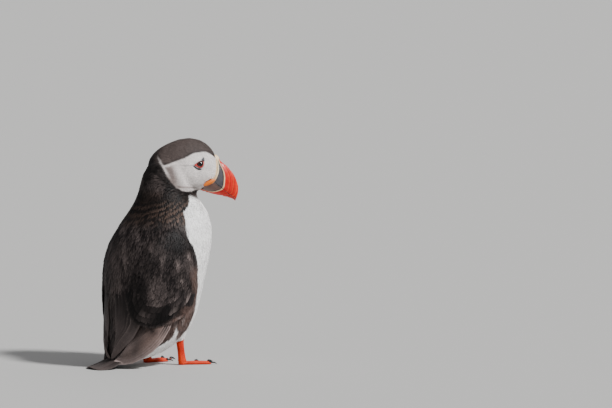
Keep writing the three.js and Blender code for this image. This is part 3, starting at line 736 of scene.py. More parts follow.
class Feathers:
    """Gathers vanes and makes one mesh of them."""

    def __init__(self):
        self.points, self.faces, self.colours, self.rims = [], [], [], []
        self.vane_map, self.patch_map = [], []
        self.count = 0

    def add(self, line, normal, half_width, ridge, profile, section, shade, fringe, map_place, length,
            fade=2):
        """Adds many vanes at once. line, normal and shade are rows x feathers x 3, fringe is a colour for
        each feather with its share, and it keeps to the tip the more, the higher the fade."""
        rows, total = line.shape[:2]
        shares, widths = profile.T
        ahead = np.gradient(line, axis=0)
        across = unit(np.cross(normal, ahead))
        columns = len(section)
        u, rise = section[:, 0], section[:, 1]
        spread = (widths[:, None] * half_width[None])[..., None, None]
        side = u[None, None, :, None]
        height = rise[None, None, :] * ridge[None, :, None] * np.clip(widths * 1.2, 0.25, 1)[:, None, None]
        droop = -0.12 * (u ** 2)[None, None, :] * spread[..., 0]
        body = (line[:, :, None] + across[:, :, None] * spread * side
                + normal[:, :, None] * (height + droop)[..., None])
        body = body.transpose(1, 0, 2, 3)  # feathers, rows, columns, 3
        ring = body[:, :-1].reshape(total, -1, 3)
        tip = line[-1][:, None]
        points = np.concatenate([ring, tip], 1)
        per = points.shape[1]
        first = self.count + per * np.arange(total)
        self.faces.append((ribbon_faces(rows, columns)[None] + first[:, None, None]).reshape(-1, 3))
        self.points.append(points.reshape(-1, 3))
        self.count += per * total

        rim = np.concatenate([np.tile(np.where(np.abs(u) == 1, np.sign(u), 0), rows - 1), [2]])
        self.rims.append(np.tile(rim, total))
        t = np.concatenate([np.repeat(shares[:-1], columns), [1.0]])
        across_u = np.concatenate([np.tile(u, rows - 1), [0.0]])
        edge = np.maximum(t ** fade, (np.abs(across_u) ** 3) * 0.8 * t ** (fade - 2))
        shade = np.asarray(shade).transpose(1, 0, 2)
        shade = np.concatenate([np.repeat(shade[:, :-1], columns, 1), shade[:, -1:]], 1)
        fringe_colour, fringe_share = fringe
        share = (edge[None] * fringe_share[:, None])[..., None]
        shade = shade + (fringe_colour[:, None] - shade) * share
        self.colours.append(shade.reshape(-1, 3))
        width_at = np.concatenate([np.repeat(widths[:-1], columns), [0.0]])
        vane = np.stack([(across_u * width_at)[None] * half_width[:, None],
                         t[None] * length[:, None]], -1)
        self.vane_map.append(vane.reshape(-1, 2))
        offset = np.stack([across_u * 0.5, t - 0.5], -1) * PATCH
        place = np.clip(map_place, PATCH, 1 - PATCH)[:, None] + offset[None]
        self.patch_map.append(place.reshape(-1, 2))

    def add_blades(self, skin, line, normal, half_width, ridge, shade, rims, wear_and_sheen):
        """Adds long stiff vanes. rims is one colour for all or one for each."""
        count = line.shape[1]
        lengths = np.linalg.norm(np.diff(line, axis=0), axis=-1).sum(0)
        near, _, face = skin.nearest(line[0])
        self.add(line, normal, half_width, np.full(count, ridge), LONG_ROWS, LONG_SECTION, shade,
                 (np.broadcast_to(rims, (count, 3)), wear_and_sheen), skin.map_place(near, face), lengths)

    def build(self, name):
        """One mesh of all the vanes so far."""
        points = to_world(np.concatenate(self.points))
        faces = np.concatenate(self.faces)
        mesh = bpy.data.meshes.new(name)
        mesh.vertices.add(len(points))
        mesh.vertices.foreach_set("co", points.ravel())
        mesh.loops.add(faces.size)
        mesh.loops.foreach_set("vertex_index", faces.ravel().astype(np.int32))
        mesh.polygons.add(len(faces))
        mesh.polygons.foreach_set("loop_start", np.arange(0, faces.size, 3, dtype=np.int32))
        for label, places in (("OFBake", self.patch_map), ("vane", self.vane_map)):
            layer = mesh.uv_layers.new(name=label)
            layer.data.foreach_set("uv", np.concatenate(places)[faces.ravel()].ravel())
        mesh.polygons.foreach_set("use_smooth", np.ones(len(faces), bool))
        mesh.update(calc_edges=True)
        self.sharpen(mesh)
        obj = bpy.data.objects.new(name, mesh)
        bpy.context.scene.collection.objects.link(obj)
        paint(obj, np.concatenate(self.colours))
        return obj

    def sharpen(self, mesh):
        """Keeps a vane's upper and lower faces apart along its rims, so that it looks thin."""
        ends = read(mesh.edges, "vertices", 2, np.int32)
        first, second = np.concatenate(self.rims)[ends].T
        sharp = (first != 0) & (second != 0) & ((first == second) | (first == 2) | (second == 2))
        add_field(mesh, "sharp_edge", "BOOLEAN", "value", sharp, "EDGE")


def follow(skin, roots, ways, lengths, shares):
    """Lines over the skin from each root: points and normals, one row for each share of the length."""
    near, normal, _ = skin.nearest(roots)
    way = square_to(normal, ways)
    points, normals = [near], [normal]
    for low, high in zip(shares[:-1], shares[1:]):
        ahead, normal, _ = skin.nearest(points[-1] + way * (lengths * (high - low))[:, None])
        way = square_to(normal, way)
        points.append(ahead)
        normals.append(normal)
    return np.array(points), np.array(normals)


def swung(ways, normals, degrees):
    """Ways turned about their normals."""
    angle = np.radians(degrees)[:, None]
    return ways * np.cos(angle) + np.cross(normals, ways) * np.sin(angle)


class Tract:
    """One region of like feathers: where it lies, how far apart and how large they are, how high root and
    tip stand, how much they swing about their lie and how strong their fringes are."""

    def __init__(self, piece, slot, where, spacing, length, half_width, lift, profile=TUFT_ROWS, ridge=0.1,
                 swing=7.0, fringe=0.0, on_wing=False):
        self.piece, self.slot, self.where, self.spacing, self.length = piece, slot, where, spacing, length
        self.half_width, self.lift, self.profile, self.ridge = half_width, lift, profile, ridge
        self.swing, self.fringe, self.on_wing = swing, fringe, on_wing


def on_leg(points):
    """Whether a point lies on the bare skin of shank or foot."""
    leg = (points[:, 2] < 5) & (points[:, 1] < 20)
    for x, y, _ in LEGS.values():
        leg |= (np.hypot(points[:, 0] - x, points[:, 1] - y) < 6.5) & (points[:, 2] < 24)
    return leg


def face_place(points):
    return on_head(points) * (in_cheek(points) > -1.2)


def cap_place(points):
    return on_head(points) * (in_cheek(points) < 0.3)


def neck_place(points):
    return (1 - on_head(points)) * (points[:, 2] > 146)


def below_neck(points):
    """1 on the body, but not on the tail past its coverts."""
    body = (1 - on_head(points)) * (points[:, 2] < 149)
    return body * ((points[:, 1] < 46) | (points[:, 2] > 17))


def is_white(points):
    return markings(points)[:, 0] > 0.3


def breast_place(points):
    return below_neck(points) * is_white(points)


def in_wing(points):
    """How far inside the outline of the folded wing each point lies, in millimetres."""
    flat = np.stack([degrees_from_spine(points) * DEGREE_MM, points[:, 2]], 1)
    return distance_inside(WING_OUTLINE * (DEGREE_MM, 1), flat)


def back_place(points):
    return below_neck(points) * ~is_white(points) * (in_wing(points) < 1)


def coverts_place(points):
    return below_neck(points) * ~is_white(points) * (in_wing(points) > -1)


TRACTS = (
    Tract("feathers_face", "face_plumage", face_place, 0.52, 2.8, 0.34, (0.06, 0.28), BARB_ROWS, 0.025, 5),
    Tract("feathers_cap", "black_plumage", cap_place, 0.7, 3.6, 0.42, (0.1, 0.52), BARB_ROWS, 0.035, 7, 0.4),
    Tract("feathers_neck", "black_plumage", neck_place, 0.95, 5.6, 0.66, (0.12, 0.95), fringe=0.8),
    Tract("feathers_breast", "white_plumage", breast_place, 1.0, 7.6, 0.9, (0.1, 0.75), ridge=0.05, swing=6),
    Tract("feathers_back", "black_plumage", back_place, 1.35, 10.0, 1.1, (0.12, 1.25), fringe=0.9),
    Tract("feathers_coverts", "black_plumage", coverts_place, 1.15, 7.0, 0.95, (0.12, 1.0), fringe=0.9,
          on_wing=True),
)


# ------------------------------------------------------------------ materials


def feed(tree, socket, value):
    """Links a socket to another one or sets its plain value."""
    if isinstance(value, bpy.types.NodeSocket):
        tree.links.new(value, socket)
    else:
        socket.default_value = value


def set_inputs(tree, made, **inputs):
    for name, value in inputs.items():
        feed(tree, made.inputs[name.replace("_", " ")], value)
    return made


def new_material(name):
    """An empty material, its tree and its shader."""
    material = bpy.data.materials.new(name)
    material.use_nodes = True
    tree = material.node_tree
    tree.nodes.clear()
    shader = tree.nodes.new("ShaderNodeBsdfPrincipled")
    tree.links.new(shader.outputs["BSDF"], tree.nodes.new("ShaderNodeOutputMaterial").inputs["Surface"])
    return material, tree, shader


def node(tree, kind, **inputs):
    """Adds a node, sets its plain values and links its inputs."""
    return set_inputs(tree, tree.nodes.new(kind), **inputs)


def math_node(tree, operation, *values):
    made = tree.nodes.new("ShaderNodeMath")
    made.operation = operation
    for socket, value in zip(made.inputs, values):
        feed(tree, socket, value)
    return made.outputs[0]


def attribute(tree, name):
    """The outputs of a node that reads one of the mesh's own fields."""
    made = tree.nodes.new("ShaderNodeAttribute")
    made.attribute_name = name
    return made.outputs


def bumped(tree, height, strength, distance):
    """A normal that follows a height, whose full rise is a distance in metres."""
    return node(tree, "ShaderNodeBump", Height=height, Strength=strength, Distance=distance).outputs[0]


def scaled_colour(tree, shade, factor):
    """A colour made lighter and darker by a factor."""
    made = tree.nodes.new("ShaderNodeVectorMath")
    made.operation = "SCALE"
    tree.links.new(shade, made.inputs[0])
    tree.links.new(factor, made.inputs["Scale"])
    return made.outputs[0]


def marking_colour(tree, factor):
    """The painted colour, made lighter and darker by a factor."""
    return scaled_colour(tree, attribute(tree, "marking")["Color"], factor)


def new_group(name, inputs, outputs):
    """An empty node group of numbers: its tree, the sockets of its inputs and those of its results."""
    tree = bpy.data.node_groups.new(name, "ShaderNodeTree")
    for label, default in inputs.items():
        socket = tree.interface.new_socket(name=label, in_out="INPUT", socket_type="NodeSocketFloat")
        socket.default_value = default
    for label in outputs:
        tree.interface.new_socket(name=label, in_out="OUTPUT", socket_type="NodeSocketFloat")
    return tree, tree.nodes.new("NodeGroupInput").outputs, tree.nodes.new("NodeGroupOutput").inputs


def use_group(tree, group, **inputs):
    made = tree.nodes.new("ShaderNodeGroup")
    made.node_tree = group
    return set_inputs(tree, made, **inputs).outputs


def barbs_group():
    """Fine parallel barbs that run out from a feather's shaft, from its place on the vane in millimetres."""
    found = bpy.data.node_groups.get("barbs")
    if found:
        return found
    tree, given, result = new_group("barbs", {"Across": 0.0, "Along": 0.0, "Spacing": 0.4, "Raggedness": 0.5},
                                    ("Height", "Mask"))
    outward = math_node(tree, "ABSOLUTE", given["Across"])
    slant = math_node(tree, "SUBTRACT", given["Along"], math_node(tree, "MULTIPLY", outward, 1.1))
    place = node(tree, "ShaderNodeTexCoord").outputs["Object"]
    noise = node(tree, "ShaderNodeTexNoise", Vector=place, Scale=900.0, Detail=2.0)
    shaken = math_node(tree, "MULTIPLY_ADD", noise.outputs[0], given["Raggedness"], slant)
    turns = math_node(tree, "DIVIDE", shaken, given["Spacing"])
    wave = math_node(tree, "SINE", math_node(tree, "MULTIPLY", turns, 6.283))
    tree.links.new(math_node(tree, "MULTIPLY_ADD", wave, 0.5, 0.5), result["Height"])
    tree.links.new(math_node(tree, "MULTIPLY_ADD", noise.outputs[0], 0.8, 0.6), result["Mask"])
    return tree


def blotch_group():
    """Soft uneven patches over the surface, as a factor round 1 and as a height."""
    found = bpy.data.node_groups.get("blotches")
    if found:
        return found
    tree, given, result = new_group("blotches", {"Scale": 200.0, "Strength": 0.3}, ("Factor", "Height"))
    place = node(tree, "ShaderNodeTexCoord").outputs["Object"]
    noise = node(tree, "ShaderNodeTexNoise", Vector=place, Scale=given["Scale"], Detail=4.0)
    centred = math_node(tree, "SUBTRACT", noise.outputs[0], 0.5)
    tree.links.new(math_node(tree, "MULTIPLY_ADD", centred, given["Strength"], 1.0), result["Factor"])
    tree.links.new(noise.outputs[0], result["Height"])
    return tree


def blotches(tree, scale, strength):
    return use_group(tree, blotch_group(), Scale=scale, Strength=strength)


def plumage_material():
    """Feather vanes: painted colour, barbs and a soft gloss on the dark ones."""
    found = bpy.data.materials.get("plumage")
    if found:
        return found
    material, tree, shader = new_material("plumage")
    vane = tree.nodes.new("ShaderNodeUVMap")
    vane.uv_map = "vane"
    across, along, _ = node(tree, "ShaderNodeSeparateXYZ", Vector=vane.outputs[0]).outputs
    barbs = use_group(tree, barbs_group(), Across=across, Along=along, Spacing=0.42, Raggedness=0.5)
    factor = math_node(tree, "MULTIPLY", barbs["Mask"], blotches(tree, 120.0, 0.5)["Factor"])
    painted = attribute(tree, "marking")["Color"]
    bright = math_node(tree, "MULTIPLY", painted, 0.5)
    set_inputs(tree, shader, Base_Color=scaled_colour(tree, painted, factor),
               Roughness=math_node(tree, "MINIMUM", math_node(tree, "ADD", bright, 0.5), 0.85),
               Normal=bumped(tree, barbs["Height"], 0.35, 0.00006), Specular_IOR_Level=0.13)
    return material


def scales_group():
    """Small scales: the seams between them as a height and a shade."""
    tree, given, result = new_group("scales", {"Scale": 1300.0}, ("Height", "Shade"))
    place = node(tree, "ShaderNodeTexCoord").outputs["Object"]
    cells = node(tree, "ShaderNodeTexVoronoi", Vector=place, Scale=given["Scale"])
    cells.feature = "DISTANCE_TO_EDGE"
    seam = math_node(tree, "MINIMUM", math_node(tree, "MULTIPLY", cells.outputs[0], 6.0), 1.0)
    tree.links.new(seam, result["Height"])
    tree.links.new(math_node(tree, "MULTIPLY_ADD", seam, 0.35, 0.68), result["Shade"])
    return tree


def skin_material():
    """Down under the vanes and small scales on the bare legs, in the painted colours."""
    material, tree, shader = new_material("skin")
    bare = attribute(tree, "bare")["Fac"]
    patches = blotches(tree, 700.0, 0.5)
    scales = use_group(tree, scales_group(), Scale=1100.0)
    scaly = math_node(tree, "MULTIPLY", scales["Shade"], bare)
    plain = math_node(tree, "SUBTRACT", 1.0, bare)
    factor = math_node(tree, "MULTIPLY", math_node(tree, "ADD", scaly, plain), patches["Factor"])
    height = math_node(tree, "ADD", math_node(tree, "MULTIPLY", scales["Height"], bare), patches["Height"])
    set_inputs(tree, shader, Base_Color=marking_colour(tree, factor),
               Roughness=math_node(tree, "MULTIPLY_ADD", bare, -0.45, 0.9),
               Normal=bumped(tree, height, 0.6, 0.00015), Specular_IOR_Level=0.25)
    return material


def horn_material(name, roughness, grain, coat_weight=0.0):
    """Painted horn with fine growth marks."""
    found = bpy.data.materials.get(name)
    if found:
        return found
    material, tree, shader = new_material(name)
    marks = blotches(tree, grain, 0.35)
    set_inputs(tree, shader, Base_Color=marking_colour(tree, marks["Factor"]),
               Roughness=math_node(tree, "MULTIPLY", marks["Factor"], roughness),
               Normal=bumped(tree, marks["Height"], 0.3, 0.0001), Coat_Weight=coat_weight,
               Coat_Roughness=0.3)
    return material


def eye_material():
    """Dark wet eye."""
    material, tree, shader = new_material("eye_gloss")
    set_inputs(tree, shader, Base_Color=marking_colour(tree, blotches(tree, 1500.0, 0.6)["Factor"]),
               Roughness=0.25, Specular_IOR_Level=0.15, Coat_Weight=0.8, Coat_Roughness=0.02)
    return material


def step_mask(tree, value, start, end):
    """0 before start, 1 past end, smooth between."""
    made = node(tree, "ShaderNodeMapRange", Value=value, From_Min=start, From_Max=end)
    made.interpolation_type = "SMOOTHSTEP"
    return made.outputs["Result"]


def laid_over(tree, base, over, mask):
    """One colour laid over another through a mask."""
    made = tree.nodes.new("ShaderNodeMix")
    made.data_type = "RGBA"
    tree.links.new(mask, made.inputs[0])
    for socket, value in ((made.inputs[6], base), (made.inputs[7], over)):
        feed(tree, socket, value if isinstance(value, bpy.types.NodeSocket) else (*value, 1))
    return made.outputs[2]


def bill_material():
    """Horn of the bill: slate plates, a cream ridge, and red with shallow grooves."""
    found = bpy.data.materials.get("bill_keratin")
    if found:
        return found
    material, tree, shader = new_material("bill_keratin")
    fields = attribute(tree, "horn")["Vector"]
    ahead, over_gape, ahead_of_rim = node(tree, "ShaderNodeSeparateXYZ", Vector=fields).outputs
    coarse, fine = blotches(tree, 260.0, 0.8), blotches(tree, 1500.0, 0.25)

    tip = math_node(tree, "MULTIPLY", step_mask(tree, ahead, 7.0, 22.0), 0.5)
    shade = laid_over(tree, colour("bill_red"), (0.62, 0.03, 0.001), tip)
    for groove in GROOVES:
        away = math_node(tree, "ABSOLUTE", math_node(tree, "SUBTRACT", ahead, groove))
        line = math_node(tree, "MULTIPLY", step_mask(tree, away, 0.65, 0.1), 0.4)
        shade = laid_over(tree, shade, (0.8, 0.14, 0.03), line)

    below = step_mask(tree, over_gape, 0.0, -1.2)
    slate = laid_over(tree, colour("bill_slate"), (0.15, 0.085, 0.07), below)
    dusk = math_node(tree, "MULTIPLY", step_mask(tree, ahead, -3.0, -0.9), 0.5)
    slate = laid_over(tree, slate, (0.03, 0.026, 0.03), dusk)
    shade = laid_over(tree, shade, slate, step_mask(tree, ahead, -0.45, -0.62))

    ridge = step_mask(tree, math_node(tree, "ABSOLUTE", ahead), 0.75, 0.5)
    shade = laid_over(tree, shade, colour("bill_cream"), ridge)
    behind_rim, above = step_mask(tree, ahead_of_rim, 0.1, -0.2), step_mask(tree, over_gape, 0.3, 1.0)
    shade = laid_over(tree, shade, colour("bill_cream"), math_node(tree, "MULTIPLY", behind_rim, above))
    cut = step_mask(tree, math_node(tree, "ABSOLUTE", over_gape), 0.42, 0.16)
    shade = laid_over(tree, shade, (0.03, 0.01, 0.008), math_node(tree, "MULTIPLY", cut, 0.85))

    uneven = math_node(tree, "MULTIPLY", coarse["Factor"], fine["Factor"])
    shaken = math_node(tree, "MULTIPLY", coarse["Height"], 6.0)
    growth = math_node(tree, "SINE", math_node(tree, "MULTIPLY_ADD", ahead, 9.0, shaken))
    height = math_node(tree, "MULTIPLY_ADD", growth, 0.25, fine["Height"])
    set_inputs(tree, shader, Base_Color=scaled_colour(tree, shade, uneven),
               Roughness=math_node(tree, "MULTIPLY", coarse["Factor"], 0.36),
               Normal=bumped(tree, height, 0.35, 0.00012), Specular_IOR_Level=0.35, Coat_Weight=0.1,
               Coat_Roughness=0.25)
    return material


# ------------------------------------------------------------------ operators


class PUFFIN_OT_skin(bpy.types.Operator):
    """Make one skin of all the flesh and lay it under the feathers by their depth"""

    bl_idname = "puffin.skin"
    bl_label = "Skin"

    def execute(self, context):
        settings = coat()
        surfaces = [surface_of(cad_nodes([name])) for name in FLESH]
        skin = merged_copy("skin", cad_nodes(FLESH + ("eye_right", "eye_left")))
        remeshed(skin, settings.cell, 14, grow=0.5 * MM)
        points = coordinates(skin)
        nearest = np.argmin([surface.distance(points) for surface in surfaces], 0)
        depth = self.depths(settings, points, nearest)
        group = skin.vertex_groups.new(name="depth")
        for index, weight in enumerate((depth / depth.max()).tolist()):
            group.add([index], weight, "REPLACE")
        apply_modifier(skin, "DISPLACE", strength=-float(depth.max()), mid_level=0, vertex_group="depth")
        skin.vertex_groups.clear()
        apply_modifier(skin, "SMOOTH", factor=0.5, iterations=2)
        legs = remeshed(merged_copy("legs", cad_nodes(LEG_NODES)), 0.5 * MM, 3)
        legs_surface = Surface(legs)
        apply_modifier(skin, "BOOLEAN", object=legs, operation="UNION", solver="MANIFOLD")
        bpy.data.objects.remove(legs)
        edit_all(skin, bpy.ops.uv.smart_project, angle_limit=1.15, island_margin=0.002)
        skin.data.uv_layers.active.name = "OFBake"
        points = coordinates(skin)
        bare = ease(0.35, 0.1, legs_surface.distance(points)) * (points[:, 2] < 30)
        add_field(skin.data, "bare", "FLOAT", "value", bare.astype(np.float32))
        leg = colour("leg")
        shade = mixed(leg, leg * (0.7, 0.45, 1), 0.5 + 0.5 * wander(points, 6, 9))
        knuckle = ease(7.5, 2.5, np.abs(points[:, 2] - 5)) * ease(14, 3, points[:, 2])
        shade = mixed(shade, leg * (1, 1.7, 2), 0.35 * knuckle)
        paint(skin, mixed(markings(points), shade, bare))
        shade_smooth(skin)
        finish_piece(skin, skin_material(), "leg_skin", *FLESH, *LEG_NODES)
        return {"FINISHED"}

    @staticmethod
    def depths(settings, points, nearest):
        """How deep the skin lies under the solids at each point, whose nearest solid is given."""
        blade = np.isin(nearest, [FLESH.index(name) for name in ("tail", *BLADE_NODES)])
        face = ease(-2.0, 1.0, in_cheek(points)) * on_head(points)
        depth = settings.body_depth + (settings.neck_depth - settings.body_depth) * ease(135, 155, points[:, 2])
        depth = depth + (settings.cap_depth - depth) * on_head(points)
        depth = depth + (settings.face_depth - depth) * face
        thin = (nearest == FLESH.index("tail")) & (points[:, 1] > 48)
        return np.where(blade, settings.blade_depth * np.where(thin, 0.3, 1), depth)


class PUFFIN_OT_small_feathers(bpy.types.Operator):
    """Cover head, neck, breast and back with their small feathers"""

    bl_idname = "puffin.small_feathers"
    bl_label = "Small feathers"

    def execute(self, context):
        skin = Surface(bpy.data.objects["skin"])
        centres = skin.points[skin.faces].mean(1)
        hard = hard_parts()
        blades = surface_of(cad_nodes(BLADE_NODES))
        for number, tract in enumerate(TRACTS):
            rng = np.random.default_rng(coat().seed + number)
            weight = np.clip(tract.where(centres), 0, 1).astype(float) * ~on_leg(centres)
            roots, face = skin.scatter(weight, tract.spacing, rng)
            obj = grow_tract(skin, hard, blades, roots, face, tract, rng)
            finish_piece(obj, plumage_material(), tract.slot)
        return {"FINISHED"}


def hard_parts():
    """Bill, eyes and bare legs, which no feather may grow into."""
    names = ("bill_upper_horn", "bill_lower_horn", "cere_rim", "rosettes", "eyeballs", "eye_rims", "eye_plates")
    return surface_of([bpy.data.objects[name] for name in names] + cad_nodes(("shank_right", "shank_left")))


def surface_of(sources):
    """The surface of several objects at once."""
    obj = merged_copy("trial", sources)
    surface = Surface(obj)
    bpy.data.objects.remove(obj)
    return surface


def grow_tract(skin, hard, blades, roots, face, tract, rng):
    """One piece of like small feathers over these roots, flat where the long feathers lie over them."""
    near, normal, _ = skin.nearest(roots)
    count = len(roots)
    way = square_to(normal, lie_of_coat(roots, tract.on_wing))
    way = swung(way, normal, rng.normal(0, tract.swing, count))
    length = tract.length * rng.uniform(0.85, 1.15, count)
    profile = tract.profile
    line, normals = follow(skin, near, way, length, profile[:, 0])
    clear = np.ones(count, bool)
    for row in (0, len(profile) // 2, -1):
        clear &= hard.height_over(line[row]) > 0.15
    line, normals, length = line[:, clear], normals[:, clear], length[clear]
    count = len(length)
    low, high = tract.lift
    rise = low + (high - low) * profile[:, 0] ** 0.9
    lift = rise[:, None] * rng.uniform(0.8, 1.15, count)[None]
    over = np.abs(blades.height_over(line[-1]))
    line = line + normals * (lift * (0.15 + 0.85 * ease(0.8, 2.2, over)))[..., None]
    shade, fringe_colour, wear_and_sheen = feather_colours(line, rng)
    feathers = Feathers()
    feathers.add(line, normals, tract.half_width * rng.uniform(0.85, 1.15, count), np.full(count, tract.ridge),
                 profile, THIN_SECTION, shade, (fringe_colour, tract.fringe * wear_and_sheen),
                 skin.map_place(roots, face)[clear], length)
    return feathers.build(tract.piece)


def feather_colours(line, rng):
    """Colours of the rows of many feathers, their fringe's colour and how strongly it shows, as wear and as
    painted sheen.
    """
    rows, count = line.shape[:2]
    tips = line[-1]
    height, degrees = tips[:, 2], degrees_from_spine(tips)
    shade = markings(line.reshape(-1, 3)).reshape(rows, count, 3) * rng.normal(1, 0.08, (1, count, 1))
    own = shade[-1]
    on_neck = ease(131, 142, height) * ease(172, 158, height)
    inside = in_wing(tips)
    # Two bands inside the wing's edge get pale fringes: painted sheen on the tips of the coverts' rows.
    sheen_arcs = np.exp(-((inside - 9.5) / 2.2) ** 2) + 0.8 * np.exp(-((inside - 21) / 2.6) ** 2)
    sheen_arcs = sheen_arcs * (0.12 + 0.88 * ease(66, 92, degrees)) * ease(118, 100, height)
    streaks = wander(tips * (1, 1, 0.33), 6, 5)
    fringe = mixed(colour("fringe"), colour("ripple"), on_neck)
    fringe = mixed(fringe, colour("cheek_rear") * 1.5, np.clip(sheen_arcs * (0.25 + 1.2 * streaks), 0, 1))
    fringe = np.where(own[:, :1] < 0.3, fringe, np.minimum(own * 1.1, 0.93))
    patches = ease(-0.15, 0.45, wander(tips * (1, 1, 0.45), 17, 8))
    wear_and_sheen = 0.08 + 0.42 * np.maximum(streaks, 0) + 0.45 * patches + 0.8 * sheen_arcs * (0.55 + 0.8 * streaks)
    wear_and_sheen = wear_and_sheen + 0.22 * ease(62, 34, degrees) * ease(128, 108, height) + rng.normal(0, 0.16, count)
    # Fewer pale fringes in the wing's band of painted shade, and over the shoulder.
    wear_and_sheen = wear_and_sheen * (1 - 0.85 * in_wing_shade_band(tips) * (1 - 0.5 * np.maximum(streaks, 0)))
    wear_and_sheen = wear_and_sheen * (1 - 0.75 * ease(106, 116, height) * ease(60, 80, degrees) * ease(134, 126, height))
    ripple = np.sin((height + 0.45 * tips[:, 1] + 1.5 * wander(tips, 16, 6)) * 2 * np.pi / 4.4)
    front = 0.25 + 0.75 * ease(25, 75, degrees)
    rippled = front * (0.35 + 0.75 * ripple) * ease(163, 152, height)
    return shade, fringe, np.clip(wear_and_sheen * (1 - on_neck) + on_neck * (0.06 + rippled), 0, 1)


def in_wing_shade_band(points):
    """1 in the wing's lower and front band, which is wide below and narrow in front, and 0 past it: there the
    wing is painted darker as shade of its rim turned from the light.
    """
    inside = in_wing(points)
    width = 18.5 - 11.5 * ease(76, 97, degrees_from_spine(points))
    return ease(-1, 1, inside) * ease(width + 3, width - 3, inside) * (0.35 + 0.65 * ease(96, 78, points[:, 2]))


def under_wing_edge(points):
    """How deep the shadow under the folded wing's lower edge is, from 0 to 1."""
    under = in_wing(points)
    return ease(0.5, -0.8, under) * ease(-8, -2, under) * ease(78, 68, points[:, 2])


class PUFFIN_OT_wing_coverts(bpy.types.Operator):
    """Hang the rows of long coverts along each wing's lower edge"""

    bl_idname = "puffin.wing_coverts"
    bl_label = "Wing coverts"

    # How far above the edge the tips of each row end, and the length of its feathers.
    rows = ((0.0, 20.0), (3.6, 17.0), (9.0, 14.5), (14.5, 12.0), (20.5, 10.5))

    def execute(self, context):
        skin = Surface(bpy.data.objects["skin"])
        rng = np.random.default_rng(coat().seed + ROWS_CHANCE)
        feathers = Feathers()
        for side in SIDES.values():
            for row, (above, length) in enumerate(reversed(self.rows)):
                self.hang(feathers, skin, side, above, length, row, rng)
        obj = feathers.build("feathers_wing_rows")
        finish_piece(obj, plumage_material(), "black_plumage")
        return {"FINISHED"}

    @staticmethod
    def hang(feathers, skin, side, above, length, row, rng):
        """One row of feathers over one wing, drawn on the trunk unrolled to millimetres."""

        def on_skin(flat):
            """How far the skin stands out of the trunk's outline, its points and their faces."""
            degrees, height = flat[:, 0] / DEGREE_MM, flat[:, 1]
            near, normal, face = skin.nearest(on_trunk(side, degrees, height, 3.0))
            return ((near - on_trunk(side, degrees, height)) * normal).sum(1), near, face

        edge = WING_EDGE * (DEGREE_MM, 1)
        steps = np.linalg.norm(np.diff(edge, axis=0), axis=1)
        reach = np.concatenate([[0], np.cumsum(steps)])
        count = int(reach[-1] / ROW_SPACING)
        share = (np.arange(count) + rng.uniform(-0.2, 0.2, count) + 0.5 * (row % 2)) / count
        at = np.clip(share, 0, 1) * reach[-1]
        tip = np.stack([np.interp(at, reach, edge[:, i]) for i in (0, 1)], 1)
        inward = unit(np.array([70 * DEGREE_MM, 92]) - tip)
        tip = tip + inward * (above + rng.normal(0, 0.25, count))[:, None]
        way = np.array([-0.34, -0.94])
        turned = 0.35 * inward * (tip[:, 0] < 45 * DEGREE_MM)[:, None]
        way = unit(way + rng.normal(0, 0.05, (count, 2)) - turned)
        lengths = length * rng.uniform(0.92, 1.08, count)
        root = tip - way * lengths[:, None]
        rise = LONG_ROWS[:, :1]
        flat = root[None] + way[None] * (lengths[None] * rise)[..., None]
        degrees, height = flat[..., 0] / DEGREE_MM, flat[..., 1]
        stand, near, face = on_skin(root)
        stand_end, _, _ = on_skin(tip + 6 * inward)
        overhang = (0.9 + 1.7 * ease(34 * DEGREE_MM, 56 * DEGREE_MM, tip[:, 0])) * (1 - 0.035 * above)
        lift = 0.25 + overhang * rise * rng.uniform(0.85, 1.15, count)
        line = on_trunk(side, degrees, height, stand + (stand_end - stand) * rise + lift)
        toned = on_trunk(side, np.minimum(degrees, 97), np.maximum(height, 46))
        shade, fringe, wear_and_sheen = feather_colours(toned, rng)
        fade = 2
        if above == 0:
            wear_and_sheen = 0.6 * ease(104, 92, tip[:, 0] / DEGREE_MM) * rng.uniform(0.3, 1, count)
            fade = 12
        feathers.add(line, out_of_trunk(side, degrees, height), 2.2 * rng.uniform(0.9, 1.1, count),
                     np.full(count, 0.1), LONG_ROWS, FULL_SECTION, shade, (fringe, 0.8 * wear_and_sheen),
                     skin.map_place(near, face), lengths, fade)


def shaded(shade, line):
    """The colours of a blade's rows, darker where the folded wing stands over them."""
    dark = under_wing_edge(line.reshape(-1, 3)).reshape(line.shape[:2])
    return shade * (1 - 0.85 * dark)[..., None]


def blade_frame(rings, share):
    """The rings of a long feathered blade at these shares, and its way ahead there."""
    ring = along_rings(rings, share)
    ahead = unit(along_rings(rings, share + 0.02)[:, :3] - along_rings(rings, share - 0.02)[:, :3])
    return ring, ahead


